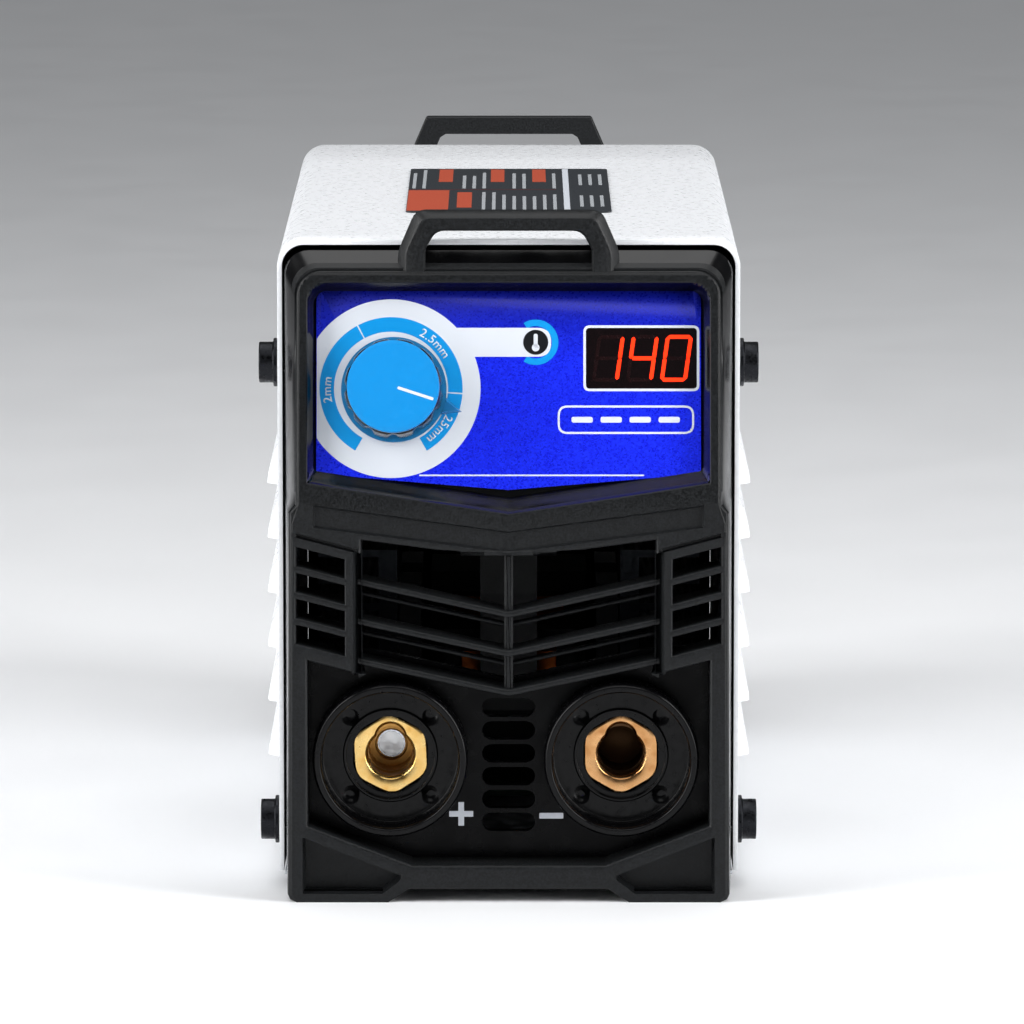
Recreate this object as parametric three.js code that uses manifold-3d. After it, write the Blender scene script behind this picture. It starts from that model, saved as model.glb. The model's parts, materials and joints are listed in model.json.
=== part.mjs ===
// A small stick welding inverter: a pale steel cover between two black moulded ends, a tilted
// control panel with a current dial and a three-digit display, two bayonet weld sockets below it,
// and a fan-cooled power stage inside. Millimetres, +Z up, the front faces -Y.
import * as THREE from "three";
import { mergeVertices } from "three/addons/utils/BufferGeometryUtils.js";
import Module from "manifold-3d";

const wasm = await Module();
wasm.setup();

// ---------------------------------------------------------------- driving dimensions
const GAP = 0.3; // clearance between neighbouring pieces
const DEPTH = 221; // front face to rear face
const COVER = { half: 48, top: 136.7, bottom: 3.8, sheet: 1, corner: 5.5, front: 15, back: DEPTH - 11.5 };
const END = { half: 46.5, top: 134.8, corner: 5, wall: 2.2, shoulder: 14, sleeveEnd: 30, floor: 4.3 };
const TILT = THREE.MathUtils.degToRad(11); // the control panel leans back by this
const CREASE = 84; // height at which the lean begins
const FOOT = { outer: 45.9, inner: 25, step: 20.7, lift: 2.8 };
const LIP = { front: 43.9, low: 45.3 }; // half widths of the front face, above and below its side step
const PANEL_TOP = 48; // up the slope, from the crease to the frame's top edge
const RECESS = { half: 41.4, top: 45.3, side: 4.2, apex: -2.5, corner: 3.5, depth: 4 };
const OVERLAY = { half: 39.9, top: 44.4, side: 6, apex: 2.7, corner: 2.5, thick: 0.5 };
const PANEL_BACK = 7; // back of the wall that carries the overlay, below the sloping face
const KNOB = { x: -23.7, up: 23.4, radius: 10.2, capRadius: 9.5, front: -10.5 };
const FLUTES = { count: 12, radius: 2.4, out: 1.75 }; // grooves round the knob, cut from outside its edge
const REST = THREE.MathUtils.degToRad(-18); // where the pointer rests
const POINTER = { tip: 14.8, root: 10.4, spread: 0.18, front: 1.7, back: 2.9 };
const DISPLAY = { x0: 15.9, x1: 39, up0: 23.6, up1: 36.4 };
const LED = { x: 5.6, up: 33.8, radius: 1.5 };
const SOCKET = { left: -24.6, right: 23.4, z: 29.6, hex: 15, face: 9.3, shoulder: 14.7, back: 33 };
const CUP = { outer: 16.1, inner: 14.2, ridge: 9.75, seat: 9.2, rim: 1.2, floor: 8.3, lip: 7.8, behind: 9.3 };
const BORE = { radius: 4.75, floor: 21, drilled: 25 };
const KEYWAY = { radius: 3.05, up: 3.3, turn: 6, from: 13.6, to: 16 }; // round notch, then the turning groove
const BOLT = { radius: 2.9, head: 10, fromFloor: 22.3, fromDrilled: 30.4 }; // the M6 terminal bolts
const PLATE = { y0: 9.6, y1: 12 }; // the recessed plate that carries the sockets
const VENT = { half: 5.5, radius: 1.9, first: 15.2, pitch: 4.84, count: 6 };
const SIDE_VENT = { x0: 33.9, x1: 44.1, top: 71.5, pitch: 5.42, half: 1.95, rise: 0.26, count: 4 };
const BLADES = { ends: [67.7, 59.4, 51], dips: [60.9, 52.7, 44.4], thick: 1.35, reach: 31, y0: 1.5, y1: 9 };
const STRAP = { half: 22.9, low: 129.5, top: 143.2, hole: 139.2, edge: 1.8, thick: 5.2, front: 9.2 };
const SCREW = { z: [13.5, 110.3], y: [22, DEPTH - 20], head: 4.3, tall: 3, shank: 1.9, washer: 5.1 };
const LOUVRE = { count: 6, first: 20, pitch: 11.8, tall: 11, out: 3.7, y0: 58, y1: 122 };
const REAR = { shoulder: DEPTH - 10.5, sleeve: DEPTH - 28, wall: DEPTH - 3.5, grille: DEPTH - 0.6 };
const FAN = { half: 40, z: 48, y0: DEPTH - 29, y1: DEPTH - 4, bore: 37.5, hole: 35.75, blades: 7 };
const SWITCH = { x: -20, z: 110, halfX: 6.5, halfZ: 9.5, rim: 1.9 };
const ROCKER = { pivot: DEPTH - 1, lean: 12, half: 5.2 };
const GLAND = { x: 20, z: 110, thread: 7.6, hex: 19, cord: 4.6 };
const BOARD = { z0: 14, z1: 15.6, y0: 46, y1: 182, half: 41 };
const SINK = { web: 24, base: 28, tip: 41, fin: 1.6, pitch: 5.8, count: 9, y0: 66, y1: 156 };
const TALL_PARTS = { capacitor: 148, relay: 161, relayLong: 18 }; // where they stand, front to back

// ---------------------------------------------------------------- solids from three.js geometry
function solid(geometry) {
  const bare = new THREE.BufferGeometry();
  bare.setAttribute("position", geometry.getAttribute("position"));
  if (geometry.index) bare.setIndex(geometry.index);
  const merged = mergeVertices(bare, 1e-4);
  const corners = merged.index.array;
  const kept = [];
  for (let i = 0; i < corners.length; i += 3) {
    const [a, b, c] = [corners[i], corners[i + 1], corners[i + 2]];
    if (a !== b && b !== c && c !== a) kept.push(a, b, c); // a pole's slivers are dropped
  }
  const make = (triangles) =>
    new wasm.Manifold(
      new wasm.Mesh({
        numProp: 3,
        vertProperties: merged.attributes.position.array,
        triVerts: new Uint32Array(triangles),
      }),
    );
  const made = make(kept);
  if (made.volume() > 0) return made;
  return make(kept.map((_, i) => kept[i - (i % 3) + [0, 2, 1][i % 3]]));
}

const join = (first, ...rest) => rest.reduce((all, one) => all.add(one), first);
const carve = (first, ...rest) => rest.reduce((left, cut) => left.subtract(cut), first);

function geometryOf(made) {
  const mesh = made.getMesh();
  const geometry = new THREE.BufferGeometry();
  geometry.setAttribute("position", new THREE.BufferAttribute(mesh.vertProperties, 3));
  geometry.setIndex(new THREE.BufferAttribute(mesh.triVerts, 1));
  geometry.computeVertexNormals();
  return geometry;
}

const shapeOf = (points) => new THREE.Shape(points.map(([x, z]) => new THREE.Vector2(x, z)));
const mirrored = (half) => [...half, ...half.map(([x, z]) => [-x, z]).reverse()];

// A corner of radius r, turning from angle a0 by a quarter turn, as points.
function corner(cx, cz, r, a0, steps = 5) {
  return Array.from({ length: steps + 1 }, (_, i) => {
    const a = a0 + (Math.PI / 2) * (i / steps);
    return [cx + r * Math.cos(a), cz + r * Math.sin(a)];
  });
}

// An outline in X and Z carried along Y.
function slab(points, y0, y1) {
  const extruded = new THREE.ExtrudeGeometry(shapeOf(points), { depth: y1 - y0, bevelEnabled: false });
  return solid(extruded.rotateX(Math.PI / 2).translate(0, y1, 0));
}

// An outline in X and Y carried along Z.
function pillar(points, z0, z1) {
  const extruded = new THREE.ExtrudeGeometry(shapeOf(points), { depth: z1 - z0, bevelEnabled: false });
  return solid(extruded.translate(0, 0, z0));
}

// An outline in Y and Z carried along X.
function girder(points, x0, x1) {
  const extruded = new THREE.ExtrudeGeometry(shapeOf(points), { depth: x1 - x0, bevelEnabled: false });
  return solid(extruded.rotateX(Math.PI / 2).rotateZ(Math.PI / 2).translate(x0, 0, 0));
}

function block(x0, x1, y0, y1, z0, z1) {
  const box = new THREE.BoxGeometry(x1 - x0, y1 - y0, z1 - z0);
  return solid(box.translate((x0 + x1) / 2, (y0 + y1) / 2, (z0 + z1) / 2));
}

function rodY(r, y0, y1, x = 0, z = 0, sides = 24) {
  return solid(new THREE.CylinderGeometry(r, r, y1 - y0, sides).translate(x, (y0 + y1) / 2, z));
}

function rodX(r, x0, x1, y, z, sides = 20) {
  const rod = new THREE.CylinderGeometry(r, r, x1 - x0, sides).rotateZ(Math.PI / 2);
  return solid(rod.translate((x0 + x1) / 2, y, z));
}

function rodZ(r, z0, z1, x, y, sides = 24) {
  const rod = new THREE.CylinderGeometry(r, r, z1 - z0, sides).rotateX(Math.PI / 2);
  return solid(rod.translate(x, y, (z0 + z1) / 2));
}

// A hexagonal bar along Y, with a corner up, flat-to-flat size given.
const hexY = (flats, y0, y1, x, z) => rodY(flats / Math.sqrt(3), y0, y1, x, z, 6);

// A profile of [radius, y] points turned about the Y axis through (x, z).
function turned(profile, x = 0, z = 0, sides = 40) {
  const points = profile.map(([r, y]) => new THREE.Vector2(r, y));
  return solid(new THREE.LatheGeometry([...points, points[0]], sides).translate(x, 0, z));
}

// A skin through rings of [x, y, z] points with flat caps, such as a body with sloping flanks.
function loft(given) {
  const flatten = (ring) => ring.map(([x, , z]) => new THREE.Vector2(x, z));
  const clockwise = THREE.ShapeUtils.isClockWise(flatten(given[0]));
  const rings = clockwise ? given.map((ring) => ring.toReversed()) : given;
  const count = rings[0].length;
  const index = [];
  rings.slice(1).forEach((_, k) => {
    for (let i = 0; i < count; i++) {
      const [a, b] = [k * count + i, k * count + ((i + 1) % count)];
      index.push(a, b, a + count, b, b + count, a + count);
    }
  });
  const cap = (ring, start, flip) => {
    for (const [a, b, c] of THREE.ShapeUtils.triangulateShape(flatten(ring), []))
      index.push(start + a, start + (flip ? c : b), start + (flip ? b : c));
  };
  cap(rings[0], 0, true);
  cap(rings.at(-1), (rings.length - 1) * count, false);
  const geometry = new THREE.BufferGeometry();
  geometry.setAttribute("position", new THREE.Float32BufferAttribute(rings.flat(2), 3));
  return solid(geometry.setIndex(index));
}

// Panel pieces are drawn with X across, Z up the slope and Y into the panel, then leant back.
const lean = (made) => made.rotate([-THREE.MathUtils.radToDeg(TILT), 0, 0]).translate([0, 0, CREASE]);
const onSlope = ([x, up]) => [x, up * Math.sin(TILT), CREASE + up * Math.cos(TILT)];

// ---------------------------------------------------------------- outlines shared by several pieces
// The closed five-sided window outline: square top corners rounded, bottom in a shallow V.
function windowOutline({ half, top, side, apex, corner: r }) {
  return mirrored([[0.001, apex], [half, side], ...corner(half - r, top - r, r, 0)]);
}

// The lower half of an end's outline, feet included, from the crease down; the same on both ends.
const lowerHalf = (upper, low) => [
  [FOOT.step, FOOT.lift],
  [FOOT.inner, 0],
  [low - 1.4, 0],
  [low, 1.6],
  [low - (low - LIP.low) * 0.98, 81.9],
  [upper, 83.4],
  [upper, CREASE],
];

const V_OPENING = [
  [0.001, 7.8],
  [20, 7.8],
  [41.6, 16.1],
  [41.6, 50.8],
  [32.6, 48.3],
  [30.4, 47.9],
  [30.4, 76.05],
  [0.001, 72],
];

// ---------------------------------------------------------------- strap loop on top of each end
function strapLoop(front, chamferAtFront) {
  const { half, low, top, hole, edge, thick } = STRAP;
  const back = front + thick;
  const ring = (y, inset) =>
    mirrored([
      [half - inset, low],
      [half - inset, 134.4],
      [19.1 - inset * 0.6, top - inset],
    ]).map(([x, z]) => [x, y, z]);
  const rings = chamferAtFront
    ? [ring(front, edge), ring(front + edge, 0), ring(back, 0)]
    : [ring(front, 0), ring(back - edge, 0), ring(back, edge)];
  const opening = mirrored([[17.4, low - 1.5], [17.1, hole - 3.6], [15.9, hole - 0.8], [14.6, hole]]);
  return { bar: loft(rings), hole: slab(opening, front - 1, back + 1) };
}

// ---------------------------------------------------------------- moulded front end
function sideVents(side) {
  const { x0, x1, top, pitch, half, rise, count } = SIDE_VENT;
  const middle = (x0 + x1) / 2;
  const slots = Array.from({ length: count }, (_, i) => {
    const at = (x, dz) => [side * x, top - pitch * i + dz + (x - middle) * rise];
    return slab([at(x0, -half), at(x1, -half), at(x1, half), at(x0, half)], -1, 10);
  });
  const across = (points) => points.map(([x, z]) => [side * x, z]);
  const groove = slab(across([[45, 76.9], [45, 77.7], [30.5, 75.95], [32.5, 73.3]]), -1, 2.5);
  const flank = pillar(across([[32.1, -1], [32.1, 0], [30.4, 6], [30.3, -1]]), 48, 73.3);
  return [...slots, groove, flank];
}

function footPocket(side) {
  const points = [[42.4, 13.4], [22.4, 5.5], [26.2, 1.9], [42.4, 2.1]];
  return slab(points.map(([x, z]) => [side * x, z]), -1, 6);
}

// A V-shaped blade of the grille: its outer ends are higher than its middle.
function blade(endZ, middleZ) {
  const { thick, reach, y0, y1 } = BLADES;
  const top = [[-reach, endZ], [0, middleZ], [reach, endZ]];
  const under = top.map(([x, z]) => [x, z - thick]).reverse();
  return slab([...top, ...under], y0, y1);
}

function screwLugs(y, inner) {
  return SCREW.z.flatMap((z) =>
    [-1, 1].map((side) => {
      const [a, b] = [side * inner, side * (END.half - 1)];
      return block(Math.min(a, b), Math.max(a, b), y - 5, y + 5, z - 5, z + 5);
    }),
  );
}

const screwHoles = (y) =>
  SCREW.z.map((z) => rodX(SCREW.shank + GAP, -COVER.half - 1, COVER.half + 1, y, z));

const atY = (points, y) => points.map(([x, z]) => [x, y, z]);

// The outline inside the cover: straight sides from a height, and rounded top corners.
const sleeveOutline = (half, low, top, r) =>
  mirrored([[half, low], ...corner(half - r, top - r, r, 0)]);

// The hollow behind the panel wall and the one behind the socket plate.
function frontCavity() {
  const inner = END.half - END.wall;
  const behindPanel = sleeveOutline(41, -1, 45, 3).map((point) => {
    const [x, y, z] = onSlope(point);
    return [x, y + PANEL_BACK * Math.cos(TILT), z - PANEL_BACK * Math.sin(TILT)];
  });
  const atSleeve = sleeveOutline(inner, CREASE - 4, END.top - END.wall, 4);
  return [
    loft([behindPanel, atY(atSleeve, END.sleeveEnd + 1)]),
    block(-inner, inner, PLATE.y0 - GAP, END.sleeveEnd + 1, END.floor + 2, CREASE - 3),
  ];
}

// The sloping sides of the panel's recess run in to just outside the printed overlay.
function panelRecess() {
  const mouth = windowOutline({ ...RECESS, half: RECESS.half + 0.4, top: RECESS.top + 0.2 });
  const floor = windowOutline({ ...OVERLAY, half: OVERLAY.half + 0.1, top: OVERLAY.top + 0.1 });
  return lean(loft([atY(mouth, -1), atY(floor, RECESS.depth)]));
}

const panelDoorways = () =>
  lean(
    join(
      block(DISPLAY.x0, DISPLAY.x1, 0, 9, DISPLAY.up0, DISPLAY.up1),
      rodY(3.9, 0, 9, KNOB.x, KNOB.up),
      rodY(LED.radius + GAP, 0, 9, LED.x, LED.up, 16),
    ),
  );

function frontEnd() {
  const face = sleeveOutline(LIP.front, 0, PANEL_TOP, 4.3).map(onSlope);
  const upper = loft([face, atY(sleeveOutline(END.half, CREASE, END.top, END.corner), END.shoulder)]);
  const lower = loft([
    atY(mirrored(lowerHalf(LIP.front, FOOT.outer)), 0),
    atY(mirrored(lowerHalf(END.half, END.half)), END.shoulder),
  ]);
  const sleeve = slab(sleeveOutline(END.half, END.floor, END.top, END.corner), END.shoulder, END.sleeveEnd);
  const loop = strapLoop(STRAP.front, true);
  const strip = slab(mirrored([[0.001, 73.4], [40.4, 78.7], [40.4, 83.6], [0.001, 77.9]]), -1, 0.8);
  const shell = carve(
    join(upper, lower, sleeve, loop.bar),
    ...frontCavity(),
    loop.hole.subtract(join(upper, sleeve)),
    panelRecess(),
    strip,
    slab(mirrored(V_OPENING), -1, 12),
    ...[-1, 1].flatMap((side) => [...sideVents(side), footPocket(side)]),
    panelDoorways(),
  );
  const blades = BLADES.ends.map((end, i) => blade(end, BLADES.dips[i]));
  const rib = block(-0.9, 0.9, 4, 9, 44, 72.6);
  return carve(join(shell, ...blades, rib, ...screwLugs(SCREW.y[0], 39)), ...screwHoles(SCREW.y[0]));
}

// ---------------------------------------------------------------- moulded rear end
function fanGrille(y0, y1) {
  const ring = (r) =>
    rodY(r + 1, y0, y1, 0, FAN.z, 24).subtract(rodY(r - 1, y0 - 1, y1 + 1, 0, FAN.z, 24));
  const spokes = [45, 135].map((degrees) =>
    solid(
      new THREE.BoxGeometry(77, y1 - y0, 2.6)
        .rotateY(THREE.MathUtils.degToRad(degrees))
        .translate(0, (y0 + y1) / 2, FAN.z),
    ),
  );
  return join(rodY(9, y0, y1, 0, FAN.z, 20), ring(16), ring(23), ring(30), ...spokes);
}

const fanCorners = () =>
  [-1, 1].flatMap((sx) => [-1, 1].map((sz) => [sx * FAN.hole, FAN.z + sz * FAN.hole]));

function rearEnd() {
  const outline = (half, low, top, r) =>
    mirrored([...lowerHalf(half, low), ...corner(half - r, top - r, r, 0)]);
  const { shoulder, wall, sleeve } = REAR;
  const body = loft([
    atY(outline(END.half, END.half, END.top, END.corner), shoulder),
    atY(outline(LIP.front, FOOT.outer, END.top - 3, 4.3), DEPTH),
  ]);
  const tube = slab(sleeveOutline(END.half, END.floor, END.top, END.corner), sleeve, shoulder);
  const inner = END.half - END.wall;
  const room = slab(sleeveOutline(inner, END.floor + 2, END.top - END.wall, 4), sleeve - 1, wall);
  const [inTube, inBody] = [
    block(-50, 50, sleeve - 2, shoulder, 0, 140),
    block(-42, 42, shoulder - 1, DEPTH, 0, STRAP.low),
  ];
  const through = [wall - 1, DEPTH + 1];
  const [wide, tall] = [SWITCH.halfX + GAP, SWITCH.halfZ + GAP];
  const loop = strapLoop(DEPTH - 5.6 - STRAP.thick, false);
  const shell = carve(
    join(body, tube, loop.bar),
    room.intersect(join(inTube, inBody)),
    loop.hole.subtract(join(body, tube)),
    rodY(FAN.bore - 0.5, ...through, 0, FAN.z, 32),
    ...fanCorners().map(([x, z]) => rodY(2.2, ...through, x, z, 12)),
    block(SWITCH.x - wide, SWITCH.x + wide, ...through, SWITCH.z - tall, SWITCH.z + tall),
    rodY(GLAND.thread + GAP, ...through, GLAND.x, GLAND.z),
  );
  const lugs = screwLugs(SCREW.y[1], 40.5);
  return carve(join(shell, fanGrille(wall, REAR.grille), ...lugs), ...screwHoles(SCREW.y[1]));
}

// ---------------------------------------------------------------- sheet metal
// A louvre pressed out of the cover's side: a curved hood, open at the bottom, closed at both ends.
function louvre(z) {
  const { half, sheet } = COVER;
  const { tall, out, y0, y1 } = LOUVRE;
  const bulge = (a, inset) => [half - inset + out * Math.sin((Math.PI / 2) * a), z + tall * (1 - a)];
  const steps = [0, 0.25, 0.5, 0.75, 1];
  const outer = steps.map((a) => bulge(a, 0));
  const inner = steps.map((a) => bulge(a, sheet)).reverse();
  const hood = slab([...outer, ...inner], y0, y1);
  const filled = slab([...outer, [half - sheet, z]], y0, y1);
  const ends = [[y0, y0 + sheet], [y1 - sheet, y1]].map(([a, b]) => block(40, 60, a, b, z, z + tall));
  return {
    hood: join(hood, filled.intersect(join(...ends))),
    window: block(half - sheet - 1, half + 1, y0 + sheet, y1 - sheet, z, z + tall * 0.72).intersect(filled),
  };
}

function topCover() {
  const { half, top, bottom, sheet, corner: r, front, back } = COVER;
  const outer = slab(mirrored([[half, bottom], ...corner(half - r, top - r, r, 0, 7)]), front, back);
  const inside = slab(
    mirrored([[half - sheet, bottom - 1], ...corner(half - r, top - r, r - sheet, 0, 7)]),
    front - 1,
    back + 1,
  );
  const hoods = Array.from({ length: LOUVRE.count }, (_, i) => louvre(LOUVRE.first + LOUVRE.pitch * i));
  const both = (made) => [made, made.mirror([1, 0, 0])];
  const wrap = carve(outer, inside);
  const holes = SCREW.y.flatMap((y) => screwHoles(y));
  return carve(
    join(carve(wrap, ...hoods.flatMap((h) => both(h.window))), ...hoods.flatMap((h) => both(h.hood))),
    ...holes,
  );
}

function basePan() {
  const [y0, y1] = [END.sleeveEnd + 1, REAR.sleeve - 1];
  const half = COVER.half - COVER.sheet - 0.2;
  const floor = block(-half, half, COVER.front, COVER.back, 3, 4);
  const flange = (side) => {
    const [a, b] = [side * half, side * (half - 1)];
    return block(Math.min(a, b), Math.max(a, b), y0, y1, 3.5, 18);
  };
  const posts = [-1, 1].flatMap((side) =>
    [BOARD.y0 + 10, BOARD.y1 - 10].map((y) => rodZ(3, 3.5, BOARD.z0 - GAP, side * 36, y, 16)),
  );
  return join(floor, flange(-1), flange(1), ...posts);
}

function coverScrew(side, y, z) {
  const washerFace = COVER.half + 0.1;
  const rod = (r, a, b, sides) => {
    const [x0, x1] = side < 0 ? [-b, -a] : [a, b];
    return rodX(r, x0, x1, y, z, sides);
  };
  const shank = rod(SCREW.shank, 41.2, washerFace + 0.5, 8);
  const washer = rod(SCREW.washer, washerFace, washerFace + 0.9, 16);
  const head = rod(SCREW.head, washerFace + 0.5, washerFace + 0.9 + SCREW.tall, 16);
  return carve(join(shank, washer, head), rod(1.8, washerFace + 2.2, COVER.half + 12, 6));
}

// ---------------------------------------------------------------- control panel
const wallPlane = RECESS.depth - OVERLAY.thick; // front of the overlay, below the sloping face

function controlOverlay() {
  const outline = windowOutline({ ...OVERLAY, half: OVERLAY.half - 0.1, top: OVERLAY.top - 0.1 });
  const film = slab(outline, wallPlane, RECESS.depth - 0.05);
  return lean(
    carve(
      film,
      block(DISPLAY.x0, DISPLAY.x1, 0, 9, DISPLAY.up0, DISPLAY.up1),
      rodY(3.9, 0, 9, KNOB.x, KNOB.up),
    ),
  );
}

// A block in the display's doorway, smaller by a clearance all round.
function inDoorway(clear, y0, y1) {
  const { x0, x1, up0, up1 } = DISPLAY;
  return lean(block(x0 + clear, x1 - clear, y0, y1, up0 + clear, up1 - clear));
}

const displayWindow = () => inDoorway(0.1, wallPlane + 0.1, wallPlane + 0.8);
const displayModule = () => inDoorway(GAP, wallPlane + 1.1, 11.7);

function temperatureLed() {
  const { x, up, radius } = LED;
  return lean(join(rodY(radius, 4.4, 11.7, x, up, 16), rodY(radius + 0.5, 8.5, 11.7, x, up, 16)));
}

function knobBody() {
  const reach = KNOB.radius + FLUTES.out;
  const grooves = Array.from({ length: FLUTES.count }, (_, i) => {
    const a = (2 * Math.PI * i) / FLUTES.count;
    return rodY(FLUTES.radius, -9, 0.4, KNOB.x + reach * Math.cos(a), KNOB.up + reach * Math.sin(a), 14);
  });
  return lean(
    carve(
      rodY(KNOB.radius, -7.6, 1.4, KNOB.x, KNOB.up, 40),
      ...grooves,
      rodY(6.6, -0.6, 2, KNOB.x, KNOB.up),
      rodY(3.2, -5.4, 2, KNOB.x, KNOB.up),
    ),
  );
}

function knobCap() {
  const { capRadius: r, front } = KNOB;
  const edge = [[r, front + 0.9], [r - 0.3, front + 0.3], [r - 0.9, front]];
  return lean(turned([[0, -7.8], [r, -7.8], ...edge, [0, front]], KNOB.x, KNOB.up, 36));
}

// The pointer rests a little below three o'clock, near the top of its range.
function knobPointer() {
  const { tip, root, spread, front, back } = POINTER;
  const disc = rodY(KNOB.radius + 0.7, front, back, KNOB.x, KNOB.up, 32);
  const at = (r, a) => [KNOB.x + r * Math.cos(REST + a), KNOB.up + r * Math.sin(REST + a)];
  const point = slab([at(root, -spread), at(tip, 0), at(root, spread)], front, back);
  return lean(join(disc.subtract(rodY(6.6, front - 1, back + 1, KNOB.x, KNOB.up)), point));
}

const potShaft = () => lean(rodY(2.9, -5.1, 10.6, KNOB.x, KNOB.up, 20));

function potBody() {
  const can = rodY(8, 7.3, 11.7, KNOB.x, KNOB.up, 32);
  const bush = rodY(3.5, 1.2, 8, KNOB.x, KNOB.up, 20);
  return lean(carve(join(can, bush), rodY(3.2, 0, 10.9, KNOB.x, KNOB.up, 20)));
}

const potNut = () =>
  lean(hexY(10, 1.6, 3.3, KNOB.x, KNOB.up).subtract(rodY(3.7, 0, 4, KNOB.x, KNOB.up, 20)));
const controlBoard = () => lean(block(-38, 38, 12, 13.6, 8, 42));

// ---------------------------------------------------------------- weld sockets
function socketPlate() {
  const plate = slab(
    mirrored([[0.001, 6.8], [43.8, 6.8], [43.8, 53], [30, 52], [0.001, 45.5]]),
    PLATE.y0,
    PLATE.y1,
  );
  const slots = Array.from({ length: VENT.count }, (_, i) => {
    const z = VENT.first + VENT.pitch * i;
    const ends = [-1, 1].map((side) => rodY(VENT.radius, 8, 13, side * (VENT.half - VENT.radius), z, 16));
    const reach = VENT.half - VENT.radius;
    return join(...ends, block(-reach, reach, 8, 13, z - VENT.radius, z + VENT.radius));
  });
  const holes = [SOCKET.left, SOCKET.right].map((x) => rodY(10.4, 8, 13, x, SOCKET.z));
  return carve(plate, ...slots, ...holes);
}

// A cup standing on the plate, with a low collar on its floor and a hexagonal seat for the brass.
function socketFlange(x) {
  const { outer, inner, ridge, seat, rim, floor, lip, behind } = CUP;
  const { hex, face, shoulder, z } = SOCKET;
  const [tube, hole] = [10.1, 7.5];
  const collar = [[hole, face - 0.5], [seat, face - 0.5], [seat, lip], [ridge, lip], [ridge, floor]];
  const wall = [[inner, floor], [inner, rim + 0.5], [inner + 0.4, rim], [outer - 0.5, rim]];
  const back = [[outer, rim + 0.5], [outer, behind], [tube, behind], [tube, 23], [hole, 23]];
  const hexHole = hexY(hex + 2 * GAP, rim, shoulder + GAP, x, z);
  return carve(turned([...collar, ...wall, ...back], x, z, 32), hexHole);
}

// The brass contact: a hexagonal nose, and a bore with a round keyway above it and a turned groove behind.
function socketInsert(x, drilled) {
  const { face, shoulder, back, hex, z } = SOCKET;
  const r = BORE.radius;
  const deep = drilled ? BORE.drilled : BORE.floor;
  const nose = hexY(hex, face, shoulder, x, z);
  const mouth = [[0, face - 0.5], [r + 1, face - 0.5], [r, face + 0.7], [0, face + 0.7]];
  const drillPoint = [[0, deep - 0.5], [r, deep - 0.5], [r, deep], [0, deep + 2.8]];
  return carve(
    join(nose, rodY(7.2, shoulder - 1.2, back, x, z, 24)),
    rodY(r, face - 1, deep, x, z, 24),
    turned(mouth, x, z, 24),
    rodY(KEYWAY.radius, face - 1, KEYWAY.to, x, z + KEYWAY.up, 20),
    rodY(KEYWAY.turn, KEYWAY.from, KEYWAY.to, x, z, 28),
    rodY(BOLT.radius + GAP, drilled ? BOLT.fromDrilled - 0.4 : deep - 0.5, back + 1, x, z, 24),
    ...(drilled ? [turned(drillPoint, x, z, 24)] : []),
  );
}

function terminalBolt(x, from) {
  const { z, back } = SOCKET;
  const head = hexY(BOLT.head, back + 2.6, back + 6.6, x, z);
  return join(rodY(BOLT.radius, from, back + 4, x, z, 24), head);
}

function busbar(x) {
  const { z, back } = SOCKET;
  const upright = block(x - 5, x + 5, back + GAP, back + 2.3, 16, z + 7);
  const foot = block(x - 5, x + 5, back + GAP, 60, 16, 18);
  return join(upright, foot).subtract(rodY(BOLT.radius + GAP, back - 1, back + 4, x, z));
}

// ---------------------------------------------------------------- power stage
function windowedCore(x0, x1, y0, y1, z0, z1, leg, winding) {
  const [mid, body] = [(x0 + x1) / 2, block(x0, x1, y0, y1, z0, z1)];
  const windows = [
    block(x0 + leg, mid - leg, y0 - 1, y1 + 1, z0 + leg, z1 - leg),
    block(mid + leg, x1 - leg, y0 - 1, y1 + 1, z0 + leg, z1 - leg),
  ];
  const w = winding;
  const coil = carve(
    block(x0 + leg + w, x1 - leg - w, y0 - 5, y1 + 5, z0 + leg + w, z1 - leg - w),
    block(mid - leg - w, mid + leg + w, y0 - w, y1 + w, z0, z1),
  );
  return { core: carve(body, ...windows), coil };
}

function heatsink(side) {
  const { web, base, tip, fin, pitch, count } = SINK;
  const foot = BOARD.z1 + GAP;
  const fins = Array.from({ length: count }, (_, i) => {
    const z = foot + pitch * i;
    const next = i < count - 1 ? [[base, z + pitch]] : [];
    return [[tip, z], [tip, z + fin], [base, z + fin], ...next];
  });
  const profile = [[web, foot], ...fins.flat(), [web, foot + pitch * (count - 1) + fin]];
  return slab(profile.map(([x, z]) => [side * x, z]), SINK.y0, SINK.y1);
}

function powerPackage(side, y) {
  const [a, b] = [side * 19, side * (24 - GAP)];
  const body = block(Math.min(a, b), Math.max(a, b), y - 8, y + 8, 34, 54);
  const [near, far] = [side * 21.4 - 0.4, side * 21.4 + 0.4];
  const leads = [-5.4, 0, 5.4].map((dy) => block(near, far, y + dy - 0.6, y + dy + 0.6, 16, 35));
  return carve(join(body, ...leads), rodX(1.7, -25, 25, y, 50, 14));
}

function capacitor(x) {
  const y = TALL_PARTS.capacitor;
  return join(rodZ(11, 16, 55, x, y), rodZ(10, 54, 56, x, y));
}

function mainBoard() {
  return block(-BOARD.half, BOARD.half, BOARD.y0, BOARD.y1, BOARD.z0, BOARD.z1);
}

function ribbonCable() {
  const path = [[20.6, 112], [27, 108], [33, 92], [36, 60], [42, 34], [50, 24], [56, 17]];
  const under = path.map(([y, z]) => [y - 0.6, z - 0.7]).reverse();
  return girder([...path, ...under], -6, 6);
}

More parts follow.
